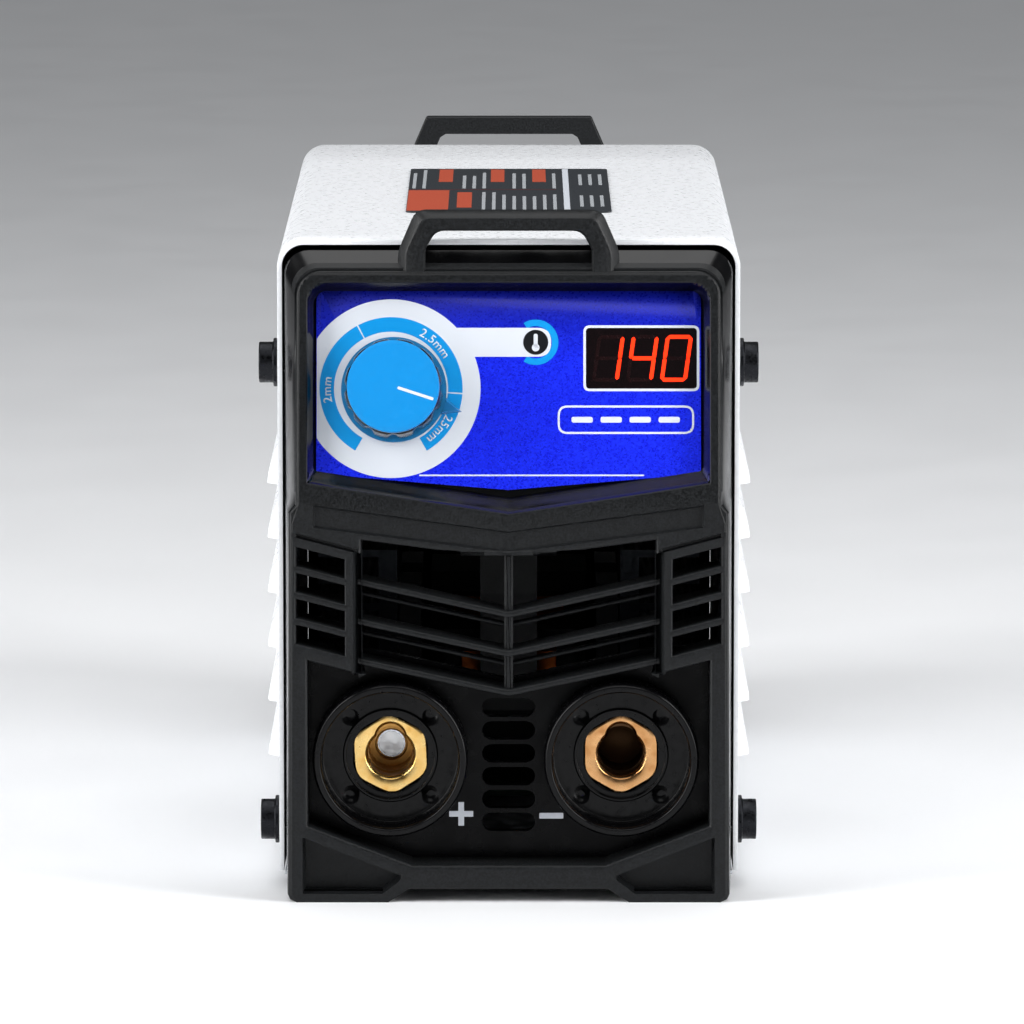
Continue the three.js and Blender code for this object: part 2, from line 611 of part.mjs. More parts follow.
// ---------------------------------------------------------------- fan
function fanFrame() {
  const { half, z, y0, y1, bore, hole } = FAN;
  const r = 4;
  const square = slab(
    mirrored([
      ...corner(half - r, z - half + r, r, -Math.PI / 2, 3),
      ...corner(half - r, z + half - r, r, 0, 3),
    ]),
    y0,
    y1,
  );
  const waist = carve(block(-50, 50, y0 + 4, y1 - 4, z - 45, z + 45), rodY(39.3, y0, y1, 0, z, 28));
  const struts = [20, 110, 200, 290].map((degrees) =>
    solid(
      new THREE.BoxGeometry(24, 2, 4)
        .translate(25.5, 0, 0)
        .rotateY(THREE.MathUtils.degToRad(degrees))
        .translate(0, y0 + 1.6, z),
    ),
  );
  const mount = carve(rodY(14, y0 + 0.4, y0 + 3.4, 0, z, 28), rodY(1.8, y0, y0 + 4, 0, z, 12));
  const through = [y0 - 1, y1 + 1];
  const screwHoles = fanCorners().map(([x, cz]) => rodY(2.2, ...through, x, cz, 10));
  return join(carve(square, waist, rodY(bore, ...through, 0, z, 36), ...screwHoles), ...struts, mount);
}

function fanRotor() {
  const { z, y0, y1 } = FAN;
  const hub = rodY(17, y0 + 4.2, y1 - 2, 0, z, 28);
  const shaft = rodY(1.5, y0 + 1, y0 + 6, 0, z, 12);
  const blades = Array.from({ length: FAN.blades }, (_, i) => {
    const stations = [16, 22, 29, 35.2];
    const twist = (r) => THREE.MathUtils.degToRad(34 - (r - 16) * 0.55);
    const chord = (r) => 14 + (r - 16) * 0.25;
    const rings = stations.map((r) => {
      const sweep = (r - 16) * 0.02;
      return [[-0.5, 0], [0, 0.9], [0.5, 0], [0, -0.5]].map(([c, t]) => {
        const along = c * chord(r) * Math.cos(twist(r)) - t * Math.sin(twist(r));
        const deep = c * chord(r) * Math.sin(twist(r)) + t * Math.cos(twist(r));
        return [along + sweep * 6, (y0 + y1) / 2 + 1 + deep, r];
      });
    });
    return loftRadial(rings).rotate([0, (360 / FAN.blades) * i, 0]).translate([0, 0, z]);
  });
  return join(hub, shaft, ...blades);
}

// A skin through rings stacked outwards from the hub, as a blade is.
function loftRadial(rings) {
  return loft(rings.map((ring) => ring.map(([x, y, r]) => [x, r, -y]))).rotate([90, 0, 0]);
}

const fanScrew = ([x, z]) =>
  join(rodY(1.7, DEPTH - 22, DEPTH + 0.5, x, z, 10), rodY(3.4, DEPTH + GAP, DEPTH + 2.3, x, z, 16));

// ---------------------------------------------------------------- mains switch and cable gland
function switchBody() {
  const { x, z, halfX, halfZ, rim: proud } = SWITCH;
  const layer = (grow, y0, y1) => {
    const [wide, tall] = [halfX + grow, halfZ + grow];
    return block(x - wide, x + wide, y0, y1, z - tall, z + tall);
  };
  const can = layer(0, DEPTH - 14, DEPTH + 1);
  const rim = layer(1.2, DEPTH + GAP, DEPTH + proud);
  const well = layer(-1, DEPTH - 9, DEPTH + 3);
  const tab = block(x - 2.4, x + 2.4, DEPTH - 22, DEPTH - 13, z - 0.4, z + 0.4);
  const tabs = [-5, 0, 5].map((dz) => tab.translate([0, 0, dz]));
  return carve(join(can, rim, ...tabs), well);
}

// A shallow V-faced rocker, resting with its lower end pressed in.
function switchRocker() {
  const profile = [[3.8, -7.2], [2.2, 0], [3.8, 7.2], [-1, 7.2], [-4, 3], [-4, -3], [-1, -7.2]];
  return girder(profile, SWITCH.x - ROCKER.half, SWITCH.x + ROCKER.half)
    .rotate([-ROCKER.lean, 0, 0])
    .translate([0, ROCKER.pivot, SWITCH.z]);
}

function glandBody() {
  const { x, z, thread, hex, cord } = GLAND;
  const nipple = rodY(thread, DEPTH - 12, DEPTH + 1, x, z);
  const body = hexY(hex, DEPTH + GAP, DEPTH + 5, x, z);
  const neck = rodY(7, DEPTH + 4, DEPTH + 10, x, z);
  return carve(join(nipple, body, neck), rodY(cord, DEPTH - 13, DEPTH + 11, x, z, 20));
}

function glandDome() {
  const { x, z } = GLAND;
  const profile = [[4, 17], [6, 17], [8.6, 13.5], [9.4, 10], [9.4, 5.3], [7.3, 5.3], [7.3, 11], [4, 14]];
  const dome = turned(profile.map(([r, y]) => [r, DEPTH + y]), x, z, 24);
  const flats = Array.from({ length: 6 }, (_, i) => {
    const cutter = new THREE.BoxGeometry(12, 8, 4).translate(0, DEPTH + 7, 10.6).rotateY((Math.PI / 3) * i);
    return solid(cutter.translate(x, 0, z));
  });
  return carve(dome, ...flats);
}

const glandLocknut = () =>
  hexY(21, REAR.wall - 4.5, REAR.wall - 0.2, GLAND.x, GLAND.z).subtract(
    rodY(GLAND.thread + GAP, REAR.wall - 6, REAR.wall + 1, GLAND.x, GLAND.z),
  );

// ---------------------------------------------------------------- assembly
const inverter = new THREE.Group();

function finish(color, roughness, metalness = 0) {
  return new THREE.MeshStandardMaterial({ color, roughness, metalness });
}

const LOOK = {
  black: finish(0x1b1d1f, 0.45),
  plate: finish(0x0c0d0e, 0.25),
  white: finish(0xeef0f1, 0.35),
  zinc: finish(0xb9bdc1, 0.4, 1),
  blue: finish(0x1420d8, 0.35),
  cyan: finish(0x0b97e0, 0.3),
  clear: finish(0x2f86b8, 0.2),
  glass: finish(0x120406, 0.1),
  brass: finish(0xd9ab58, 0.3, 1),
  copper: finish(0xc8703c, 0.35, 1),
  steel: finish(0xc4c7cb, 0.3, 1),
  screw: finish(0x17171a, 0.35, 1),
  board: finish(0x1c5a34, 0.5),
  ferrite: finish(0x2b2b2e, 0.8),
  sink: finish(0xa9adb2, 0.45, 1),
  sleeve: finish(0x23262c, 0.4),
  label: finish(0x1b1c22, 0.4),
  led: finish(0xd8341f, 0.2),
};

function add(name, made, look) {
  const mesh = new THREE.Mesh(geometryOf(made), look);
  mesh.name = name;
  inverter.add(mesh);
}

add("front_bezel", frontEnd(), LOOK.black);
add("rear_bezel", rearEnd(), LOOK.black);
add("top_cover", topCover(), LOOK.white);
add("base_pan", basePan(), LOOK.zinc);
add("cover_label", block(-22, 22, 66, 154, COVER.top + 0.1, COVER.top + 0.3), LOOK.label);
SCREW.y.forEach((y, row) =>
  SCREW.z.forEach((z, level) =>
    [-1, 1].forEach((side) => {
      const place = [["front", "rear"][row], ["lower", "upper"][level], side < 0 ? "left" : "right"];
      add(["cover_screw", ...place].join("_"), coverScrew(side, y, z), LOOK.screw);
    }),
  ),
);

add("control_overlay", controlOverlay(), LOOK.blue);
add("display_window", displayWindow(), LOOK.glass);
add("display_module", displayModule(), LOOK.plate);
add("temperature_led", temperatureLed(), LOOK.led);
add("knob_body", knobBody(), LOOK.plate);
add("knob_cap", knobCap(), LOOK.cyan);
add("knob_pointer", knobPointer(), LOOK.clear);
add("pot_shaft", potShaft(), LOOK.steel);
add("pot_body", potBody(), LOOK.steel);
add("pot_nut", potNut(), LOOK.steel);
add("control_board", controlBoard(), LOOK.board);
add("ribbon_cable", ribbonCable(), LOOK.sleeve);

add("socket_plate", socketPlate(), LOOK.plate);
const poles = [
  { pole: "positive", x: SOCKET.left, drilled: false, from: BOLT.fromFloor },
  { pole: "negative", x: SOCKET.right, drilled: true, from: BOLT.fromDrilled },
];
poles.forEach(({ pole, x, drilled, from }) => {
  add(pole + "_socket_flange", socketFlange(x), LOOK.plate);
  add(pole + "_socket_insert", socketInsert(x, drilled), LOOK.brass);
  add(pole + "_terminal_bolt", terminalBolt(x, from), LOOK.steel);
  add(pole + "_busbar", busbar(x), LOOK.copper);
});

add("main_board", mainBoard(), LOOK.board);
const transformer = windowedCore(-17, 17, 100, 124, 16, 54, 4.5, 0.4);
add("transformer_core", transformer.core, LOOK.ferrite);
add("transformer_winding", transformer.coil, LOOK.copper);
const choke = windowedCore(-14, 14, 70, 88, 16, 46, 3.6, 0.4);
add("choke_core", choke.core, LOOK.ferrite);
add("choke_winding", choke.coil, LOOK.copper);
[-1, 1].forEach((side, i) => {
  add(["heatsink_left", "heatsink_right"][i], heatsink(side), LOOK.sink);
  add("capacitor_" + (i + 1), capacitor(side * 11.6), LOOK.sleeve);
});
[90, 120].forEach((y, i) => {
  add("igbt_" + (i + 1), powerPackage(-1, y), LOOK.sleeve);
  add("output_diode_" + (i + 1), powerPackage(1, y), LOOK.sleeve);
});
const { relay: behind, relayLong: long } = TALL_PARTS;
add("bridge_rectifier", block(26, 40, behind, behind + long, 16, 38), LOOK.sleeve);
add("relay", block(-40, -26, behind, behind + long, 16, 36), LOOK.sleeve);

add("fan_frame", fanFrame(), LOOK.plate);
add("fan_rotor", fanRotor(), LOOK.plate);
fanCorners().forEach((place, i) => add("fan_screw_" + (i + 1), fanScrew(place), LOOK.screw));
add("switch_body", switchBody(), LOOK.plate);
add("switch_rocker", switchRocker(), LOOK.led);
add("gland_body", glandBody(), LOOK.plate);
add("gland_dome", glandDome(), LOOK.plate);
add("gland_locknut", glandLocknut(), LOOK.plate);

// The frame's origin is the centre of the box's bottom.
const extent = new THREE.Box3().setFromObject(inverter);
inverter.position.set(0, -(extent.min.y + extent.max.y) / 2, 0);

export default inverter;
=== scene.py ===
# %% [markdown]
# # A small stick welding inverter
# The machine is a bent steel cover held between two black moulded ends. This lesson dresses its
# measured CAD frame in real finishes, and rebuilds the pieces whose surface the eye reads first.
# Everything is placed from the frame, so nothing has to be fitted by hand.

import json
import math

import bmesh
import bpy
import numpy as np
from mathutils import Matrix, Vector


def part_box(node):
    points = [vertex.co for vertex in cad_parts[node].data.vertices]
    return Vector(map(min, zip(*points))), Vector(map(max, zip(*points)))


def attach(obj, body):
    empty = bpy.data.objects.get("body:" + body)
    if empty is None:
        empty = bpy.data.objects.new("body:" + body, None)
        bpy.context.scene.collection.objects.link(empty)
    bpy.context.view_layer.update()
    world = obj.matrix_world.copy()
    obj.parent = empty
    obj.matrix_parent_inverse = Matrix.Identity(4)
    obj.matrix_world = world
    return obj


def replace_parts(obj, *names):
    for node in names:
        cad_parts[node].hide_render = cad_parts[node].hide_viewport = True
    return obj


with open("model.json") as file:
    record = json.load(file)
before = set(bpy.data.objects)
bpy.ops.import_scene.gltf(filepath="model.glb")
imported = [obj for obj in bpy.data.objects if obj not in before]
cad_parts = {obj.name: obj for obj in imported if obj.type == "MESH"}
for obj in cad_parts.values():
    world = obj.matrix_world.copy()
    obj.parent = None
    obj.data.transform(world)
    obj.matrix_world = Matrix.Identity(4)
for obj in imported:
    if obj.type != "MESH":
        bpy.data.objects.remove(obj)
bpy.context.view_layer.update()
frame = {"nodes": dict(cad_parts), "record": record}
nodes = frame["nodes"]
MM = 0.001

# %% [markdown]
# ## Where things are
# Sizes on a drawing are millimetres: x across, y back from the front face and z up from the floor.
# One function turns them to the frame's metres. The control panel leans back, so a second function
# takes x, a distance up the slope and a depth into it. The lean comes from the dial's own axis.

# %% Places on the machine
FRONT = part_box("front_bezel")[0].y / MM
joints = {joint["name"]: joint for joint in frame["record"]["behaviour"]["joints"]}
dial_axis = joints["knob_turn"]["axis"]
dial_centre = np.array(joints["knob_turn"]["pos_m"]) / MM
LEAN = math.atan2(-dial_axis[2], dial_axis[1])
DIAL_X = dial_centre[0]
DIAL_UP = (dial_centre[1] - FRONT) / math.sin(LEAN)
CREASE = dial_centre[2] - DIAL_UP * math.cos(LEAN)


def place(x, y, z):
    """Drawing millimetres to frame metres: y is counted from the front face."""
    return np.stack(np.broadcast_arrays(x, np.add(y, FRONT), z), -1).astype(float) * MM


def upright(x, z, y):
    """A point of an upright drawing (x across, z up) at a distance y behind the front face."""
    return place(x, y, z)


def on_panel(x, up, depth):
    """A point of the leaning panel: the slope's own two axes are the upright ones turned by LEAN."""
    return place(
        x,
        up * math.sin(LEAN) + depth * math.cos(LEAN),
        CREASE + up * math.cos(LEAN) - depth * math.sin(LEAN)
    )


print(
    "lean",
    round(math.degrees(LEAN), 2),
    "crease",
    round(CREASE, 2),
    "dial",
    round(DIAL_X, 2),
    round(DIAL_UP, 2)
)

# %% [markdown]
# ## Making a mesh from whole arrays
# A surface is a grid of points, worked out in one go with numpy. Neighbouring points make a face.
# After that, points that fell together, such as a pole's, are merged and the faces are turned out.

# %% Grid, ring and outline helpers
def new_piece(name, points, faces, body="chassis"):
    """A mesh object from points in metres and faces, cleaned, smooth shaded and riding on a body."""
    mesh = bpy.data.meshes.new(name)
    mesh.from_pydata(np.asarray(points).reshape(-1, 3).tolist(), [], [list(face) for face in faces])
    piece = bpy.data.objects.new(name, mesh)
    bpy.context.collection.objects.link(piece)
    clean(piece)
    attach(piece, body)
    return piece


def clean(piece, closeness=2e-6, sharp=35):
    """Merges points that fell together, turns faces outwards and keeps edges over an angle sharp."""
    sheet = bmesh.new()
    sheet.from_mesh(piece.data)
    bmesh.ops.remove_doubles(sheet, verts=sheet.verts, dist=closeness)
    bmesh.ops.dissolve_degenerate(sheet, edges=sheet.edges, dist=closeness)
    bmesh.ops.recalc_face_normals(sheet, faces=sheet.faces)
    sheet.to_mesh(piece.data)
    sheet.free()
    piece.data.polygons.foreach_set("use_smooth", [True] * len(piece.data.polygons))
    piece.data.set_sharp_from_angle(angle=math.radians(sharp))


def grid_faces(rows, columns, round_rows=False, round_columns=False):
    """The four corners of every face of a grid; a round direction joins its end to its start."""
    i, j = np.meshgrid(
        np.arange(rows - (not round_rows)), np.arange(columns - (not round_columns)), indexing="ij"
    )
    below, right = (i + 1) % rows, (j + 1) % columns
    return np.stack(
        [i * columns + j, i * columns + right, below * columns + right, below * columns + j], -1
    ).reshape(-1, 4)


def rounded(points, reach, steps=6, closed=True):
    """Every corner gives way to a curve that starts `reach` before it and bends through it:
    (1-t)^2 before + 2t(1-t) corner + t^2 after, with t from 0 to 1."""
    corner = np.asarray(points, float)
    size = np.broadcast_to(np.asarray(reach, float), len(corner))[:, None]
    def unit(step):
        return step / np.maximum(np.linalg.norm(step, axis=1, keepdims=True), 1e-9)

    before = corner + unit(np.roll(corner, 1, 0) - corner) * size
    after = corner + unit(np.roll(corner, -1, 0) - corner) * size
    if not closed:
        before[[0, -1]] = after[[0, -1]] = corner[[0, -1]]
    t = np.linspace(0, 1, steps)[:, None, None]
    curve = (1 - t) ** 2 * before + 2 * t * (1 - t) * corner + t**2 * after
    return curve.transpose(1, 0, 2).reshape(-1, corner.shape[1])


def outward(outline):
    """The outward direction at each point of a closed outline: its neighbours' chord, turned a quarter."""
    chord = np.roll(outline, -1, 0) - np.roll(outline, 1, 0)
    normal = np.stack([chord[:, 1], -chord[:, 0]], 1) / np.maximum(
        np.linalg.norm(chord, axis=1, keepdims=True), 1e-9
    )
    x, y = outline.T
    area = np.sum(x * np.roll(y, -1) - np.roll(x, -1) * y)
    return normal * np.sign(area)


def slab(name, outline, depths, where=upright, insets=None, body="chassis"):
    """A closed outline carried through depths, drawn in by an inset at each, with flat ends."""
    outline = np.asarray(outline, float)
    insets = np.zeros(len(depths)) if insets is None else np.asarray(insets, float)
    rings = outline[None] - outward(outline)[None] * insets[:, None, None]
    points = where(rings[..., 0], rings[..., 1], np.asarray(depths, float)[:, None])
    count = len(outline)
    sides = grid_faces(len(depths), count, round_columns=True).tolist()
    ends = [list(range(count))[::-1], list(range(count * (len(depths) - 1), count * len(depths)))]
    return new_piece(name, points, sides + ends, body)


def bar(name, x0, x1, z0, z1, depths, where=upright, soft=0.3, edge=0.15, body="chassis"):
    """A rectangular bar with rounded corners and softened ends."""
    outline = rounded([(x0, z0), (x1, z0), (x1, z1), (x0, z1)], soft)
    low, high = min(depths), max(depths)
    return slab(name, outline, [low, low + edge, high - edge, high], where, [edge, 0, 0, edge], body)


def turned(name, profile, centre, where=upright, sides=96, body="chassis", soft=0.0, ripple=None):
    """A profile of (radius, depth) turned about an axis into the panel. ripple, if given, is a
    function of angle, radius and depth that returns what to add to the radius."""
    profile = np.asarray(profile, float)
    profile = rounded(profile, soft, closed=False) if soft else profile
    angle = np.linspace(0, 2 * math.pi, sides, endpoint=False)[None]
    radius, depth = profile[:, :1], profile[:, 1:]
    radius = radius + (ripple(angle, radius, depth) if ripple else 0 * angle)
    points = where(
        centre[0] + radius * np.cos(angle), centre[1] + radius * np.sin(angle), depth + 0 * angle
    )
    return new_piece(name, points, grid_faces(len(profile), sides, round_columns=True).tolist(), body)


def joined(name, parts):
    """Several pieces of one finish made one object, for what comes as one print or one moulding."""
    with bpy.context.temp_override(active_object=parts[0], selected_editable_objects=parts):
        bpy.ops.object.join()
    parts[0].name = parts[0].data.name = name
    return parts[0]


# %% [markdown]
# ## Softening the frame's own solids
# A moulded or machined part has no knife edges: each edge catches a thin line of light. Where the
# frame's solid already has the right shape, a copy is merged, its flat triangles are dissolved into
# whole faces, and a Bevel modifier rounds the edges. Drawing each one again would add nothing.

# %% Soften a copy of a frame node
def softened(node, width, segments=2, angle=28, name=None, merge=0.02):
    """A copy of a frame node with merged points and its edges rounded to `width` mm."""
    source = nodes[node]
    piece = bpy.data.objects.new(name or node + "_finished", source.data.copy())
    bpy.context.collection.objects.link(piece)
    sheet = bmesh.new()
    sheet.from_mesh(piece.data)
    bmesh.ops.remove_doubles(sheet, verts=sheet.verts, dist=merge * MM)
    bmesh.ops.dissolve_degenerate(sheet, edges=sheet.edges, dist=merge * MM)
    sheet.to_mesh(piece.data)
    sheet.free()
    piece.data.polygons.foreach_set("use_smooth", [True] * len(piece.data.polygons))
    piece.data.set_sharp_from_angle(angle=math.radians(angle))
    edge = piece.modifiers.new("edges", "BEVEL")
    edge.width = width * MM
    edge.segments = segments
    edge.limit_method = "ANGLE"
    edge.angle_limit = math.radians(angle)
    edge.use_clamp_overlap = False
    edge.harden_normals = True
    body = next(key for key, listed in frame["record"]["behaviour"]["bodies"].items() if node in listed)
    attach(piece, body)
    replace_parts(piece, node)
    return piece


# %% [markdown]
# ## Materials
# Each finish starts from what the real one is. Colours are written as the eye reads them, in sRGB
# hex, and one function makes them linear. A pattern's scale is given by a real
# size in millimetres: noise and Voronoi cells are one unit across at scale 1, so a size of s mm
# needs a scale of 1000 / s on coordinates in metres.

# %% Colour, node and pattern helpers
def linear(colour, alpha=1.0):
    """sRGB hex to linear: c / 12.92 below 0.04045, else ((c + 0.055) / 1.055) ^ 2.4."""
    value = np.array([int(colour[i : i + 2], 16) for i in (1, 3, 5)]) / 255
    return (*np.where(value <= 0.04045, value / 12.92, ((value + 0.055) / 1.055) ** 2.4), alpha)


def add_node(tree, kind, inputs=(), **settings):
    """Adds a node, sets its own settings, then fills or links each named input."""
    node = tree.nodes.new(kind)
    for key, value in settings.items():
        setattr(node, key, value)
    for key, value in dict(inputs).items():
        if isinstance(value, bpy.types.NodeSocket):
            tree.links.new(value, node.inputs[key])
        else:
            node.inputs[key].default_value = value
    return node


def finish(name, colour, roughness, metallic=0.0, **more):
    """A material with a Principled surface, its even values set on the sockets. Returns it, its
    tree, the surface node and the object coordinates that patterns read."""
    material = bpy.data.materials.new(name)
    material.use_nodes = True
    tree = material.node_tree
    surface = tree.nodes["Principled BSDF"]
    values = {"Base Color": linear(colour), "Roughness": roughness, "Metallic": metallic, **more}
    for key, value in values.items():
        surface.inputs[key].default_value = value
    material.diffuse_color = linear(colour)
    place_node = add_node(tree, "ShaderNodeTexCoord")
    return material, tree, surface, place_node.outputs["Object"]


def across(size):
    """The texture scale that makes one cell `size` millimetres across."""
    return 1000.0 / size


def grain(tree, surface, coordinates, size, height, strength=1.0, detail=2.0, kind="noise"):
    """A bump of cells `size` mm across and `height` mm tall. Returns the pattern's output."""
    if kind == "noise":
        pattern = add_node(
            tree, "ShaderNodeTexNoise", {"Vector": coordinates, "Scale": across(size), "Detail": detail}
        ).outputs["Fac"]
    else:
        pattern = add_node(
            tree, "ShaderNodeTexVoronoi", {"Vector": coordinates, "Scale": across(size)}
        ).outputs["Distance"]
    bump = add_node(
        tree, "ShaderNodeBump", {"Height": pattern, "Distance": height * MM, "Strength": strength}
    )
    tree.links.new(bump.outputs["Normal"], surface.inputs["Normal"])
    return pattern


def vary(tree, surface, pattern, low, high, socket="Roughness", start=0.35, stop=0.65):
    """The pattern moves a value of the surface between low and high."""
    spread = add_node(
        tree,
        "ShaderNodeMapRange",
        {"Value": pattern, "From Min": start, "From Max": stop, "To Min": low, "To Max": high}
    )
    tree.links.new(spread.outputs["Result"], surface.inputs[socket])


def tint(tree, surface, pattern, first, second, start=0.4, stop=0.6):
    """The pattern blends the surface between two colours."""
    ramp = add_node(tree, "ShaderNodeValToRGB", {"Fac": pattern})
    ramp.color_ramp.elements[0].position = start
    ramp.color_ramp.elements[0].color = linear(first)
    ramp.color_ramp.elements[1].position = stop
    ramp.color_ramp.elements[1].color = linear(second)
    tree.links.new(ramp.outputs["Color"], surface.inputs["Base Color"])
    return ramp.outputs["Color"]


def paint(piece, material):
    """Gives the piece one finish."""
    piece.data.materials.clear()
    piece.data.materials.append(material)
    return piece


# %% [markdown]
# ### The moulded ends: spark-textured ABS
# Housing ends are injection moulded ABS. The steel mould is spark eroded where the part is matt,
# which leaves pits about a third of a millimetre across, and polished where it is glossy. Two noise
# layers would be lost at this distance, so one pattern shapes both the bump and the roughness.

# %% Black plastics
def textured_abs():
    """Matt black ABS: a fine sparkle of pits, each with its own roughness."""
    material, tree, surface, spot = finish("abs_black_spark_texture", "#101113", 0.42)
    pits = grain(tree, surface, spot, 0.42, 0.04, 0.6, 3.0)
    vary(tree, surface, pits, 0.34, 0.52)
    tint(tree, surface, pits, "#0B0C0D", "#17191B", 0.38, 0.64)
    surface.inputs["Specular IOR Level"].default_value = 0.25
    return material


def polished_abs():
    """Glossy black ABS from a polished mould: faint sink waves."""
    material, tree, surface, spot = finish("abs_black_polished", "#050506", 0.14)
    surface.inputs["Specular IOR Level"].default_value = 0.35
    waves = grain(tree, surface, spot, 7.0, 0.03, 0.3, 2.0)
    vary(tree, surface, waves, 0.12, 0.24)
    return material


def satin_nylon():
    """Black glass-filled nylon of flanges and glands: satin, with a slow flow pattern."""
    material, tree, surface, spot = finish("nylon_black_satin", "#050506", 0.18)
    surface.inputs["Specular IOR Level"].default_value = 0.18
    flow = grain(tree, surface, spot, 1.6, 0.02, 0.35, 4.0)
    vary(tree, surface, flow, 0.14, 0.28)
    return material


def shaded_plate_black():
    """The plate behind the sockets: smooth black ABS, its reflection turned down to paint the shade of its
    bay.
    """
    material, tree, surface, spot = finish("abs_black_plate", "#040405", 0.3)
    # Painted shade: the reflection is turned far down so the plate reads as dark as the shade of its bay.
    surface.inputs["Specular IOR Level"].default_value = 0.1
    vary(tree, surface, grain(tree, surface, spot, 5.0, 0.02, 0.3), 0.24, 0.36)
    return material


TEXTURED, POLISHED, NYLON, SHADED_PLATE_BLACK = textured_abs(), polished_abs(), satin_nylon(), shaded_plate_black()
print("black plastics:", TEXTURED.name, POLISHED.name, NYLON.name)

# %% [markdown]
# ### The cover: white powder coat on steel
# Powder melts and flows as it bakes, and leaves a gentle orange peel, about 1.5 mm from hill to
# hill and a few hundredths high. It hardly shows in the colour and shows in the highlights.
# The floor pan is only zinc plated, which leaves crystals of slightly different grey.

# %% Metals and coats
def powder_coat():
    """White polyester powder: orange peel in the gloss."""
    material, tree, surface, spot = finish("powder_coat_white", "#EDEFF2", 0.3)
    peel = grain(tree, surface, spot, 1.5, 0.012, 0.2, 1.5)
    vary(tree, surface, peel, 0.26, 0.36)
    return material


def zinc_plate():
    """Zinc plated steel sheet: soft crystals a few millimetres across."""
    material, tree, surface, spot = finish("zinc_plated_steel", "#B9BEC3", 0.38, 1.0)
    crystals = grain(tree, surface, spot, 4.0, 0.01, 0.2, 1.0, "voronoi")
    vary(tree, surface, crystals, 0.3, 0.5)
    return material


def bare_metal(name, colour, roughness, lines, height=0.012):
    """A machined metal: noise drawn out along its length gives fine tool lines."""
    material, tree, surface, spot = finish(name, colour, roughness, 1.0)
    drawn = add_node(tree, "ShaderNodeMapping", {"Vector": spot, "Scale": (1.0, 0.05, 1.0)})
    marks = grain(tree, surface, drawn.outputs["Vector"], lines, height, 0.5, 3.0)
    vary(tree, surface, marks, roughness * 0.75, roughness * 1.4)
    return material


def plain(name, colour, roughness, size, low, high, metallic=0.0):
    """A simple moulded or fired surface with a fine grain in its gloss."""
    material, tree, surface, spot = finish(name, colour, roughness, metallic)
    vary(tree, surface, grain(tree, surface, spot, size, 0.02, 0.4), low, high)
    return material


COAT, ZINC = powder_coat(), zinc_plate()
COPPER = bare_metal("copper_bare", "#D8824F", 0.3, 0.5)
STEEL = bare_metal("steel_bright_plated", "#C9CCD0", 0.24, 0.4)
# Painted shade: the heatsink aluminium is coloured dark grey to stand for the shade inside the case.
SHADE_DARKENED_ALUMINIUM = bare_metal("aluminium_darkened_for_shade", "#33363A", 0.4, 0.8)
BLACK_OXIDE = bare_metal("steel_black_oxide", "#26272A", 0.32, 0.5, 0.03)
print("metals:", [m.name for m in (COAT, ZINC, COPPER, STEEL, SHADE_DARKENED_ALUMINIUM, BLACK_OXIDE)])

# %% [markdown]
# ## The cover
# The real cover is one steel sheet, bent into a U, with rows of louvres pressed out of its sides.
# Pressing stretches the sheet smoothly at the top and ends of each hood and shears it open along
# the bottom. A boolean hood stuck on a wall misses that flow, so the cover is one surface here:
# a bent profile, pushed out by a height that rises along each hood and drops at its open edge.

# %% Cover: one sheet pushed out into louvres
cover_low, cover_high = (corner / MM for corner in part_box("top_cover"))
SHEET, BEND = 1.0, 5.5
HALF, TOP, BOTTOM = 48.0, cover_high.z, cover_low.z
COVER_Y = (cover_low.y - FRONT, cover_high.y - FRONT + 0.9)
LOUVRES = {
    "first": 20.0, "pitch": 11.8, "tall": 11.0, "count": 6, "y": (58.0, 122.0), "out": cover_high.x - HALF
}


def louvre_height(z, y):
    """How far the side stands out: a quarter sine down each hood, times a smooth rise at both ends."""
    start = LOUVRES["first"] + LOUVRES["pitch"] * np.arange(LOUVRES["count"])
    part = (z[..., None] - start) / LOUVRES["tall"]
    hood = np.where(
        (part >= 0) & (part <= 1), np.sin(np.pi / 2 * np.clip(1 - part, 0, 1)) ** 1.15, 0
    ).sum(-1)
    ends = np.clip(np.minimum(y - LOUVRES["y"][0], LOUVRES["y"][1] - y) / 5.0, 0, 1)
    return LOUVRES["out"] * hood * ends * ends * (3 - 2 * ends)


def cover_sheet():
    """Rows run up one side, over the top and down the other; columns run front to back.
    Row heights crowd together at each louvre's open edge, where a pair of rows makes the step."""
    start = (LOUVRES["first"] + LOUVRES["pitch"] * np.arange(LOUVRES["count"]))[:, None]
    steps = np.array([-0.02, 0.0, 0.6, 1.6, 3.2, 5.2, 7.4, 9.4, 10.6, 11.0])[None]
    heights = np.unique(
        np.concatenate([[BOTTOM, BOTTOM + 8], (start + steps).ravel(), [100, 114, TOP - BEND]])
    )
    turn = np.linspace(0, np.pi / 2, 12)[1:]
    side_x = np.concatenate([np.full(len(heights), HALF), HALF - BEND + BEND * np.cos(turn), [28, 14, 0]])
    side_z = np.concatenate([heights, TOP - BEND + BEND * np.sin(turn), np.full(3, TOP)])
    y0, y1 = LOUVRES["y"]
    ramp = np.linspace(0, 5, 9)
    y = np.concatenate(
        [
            [COVER_Y[0], 25, 40],
            y0 + ramp,
            np.linspace(y0 + 10, y1 - 10, 8),
            y1 - ramp[::-1],
            [145, 175, COVER_Y[1]]
        ]
    )
    z_grid, y_grid = np.meshgrid(side_z, y, indexing="ij")
    wall = (np.arange(len(side_z)) < len(heights))[:, None]
    x_grid = side_x[:, None] + np.where(wall, louvre_height(z_grid, y_grid), 0)
    right = place(x_grid, y_grid, z_grid)
    left = right[:-1][::-1] * [-1, 1, 1]
    points = np.concatenate([right, left])
    faces = grid_faces(*points.shape[:2])
    corners = points.reshape(-1, 3)[faces] / MM
    shear = (np.ptp(corners[..., 2], axis=1) < 0.05) & (np.abs(corners[..., 0]).max(1) > HALF + 0.8)
    return new_piece("cover_sheet", points, faces[~shear].tolist())


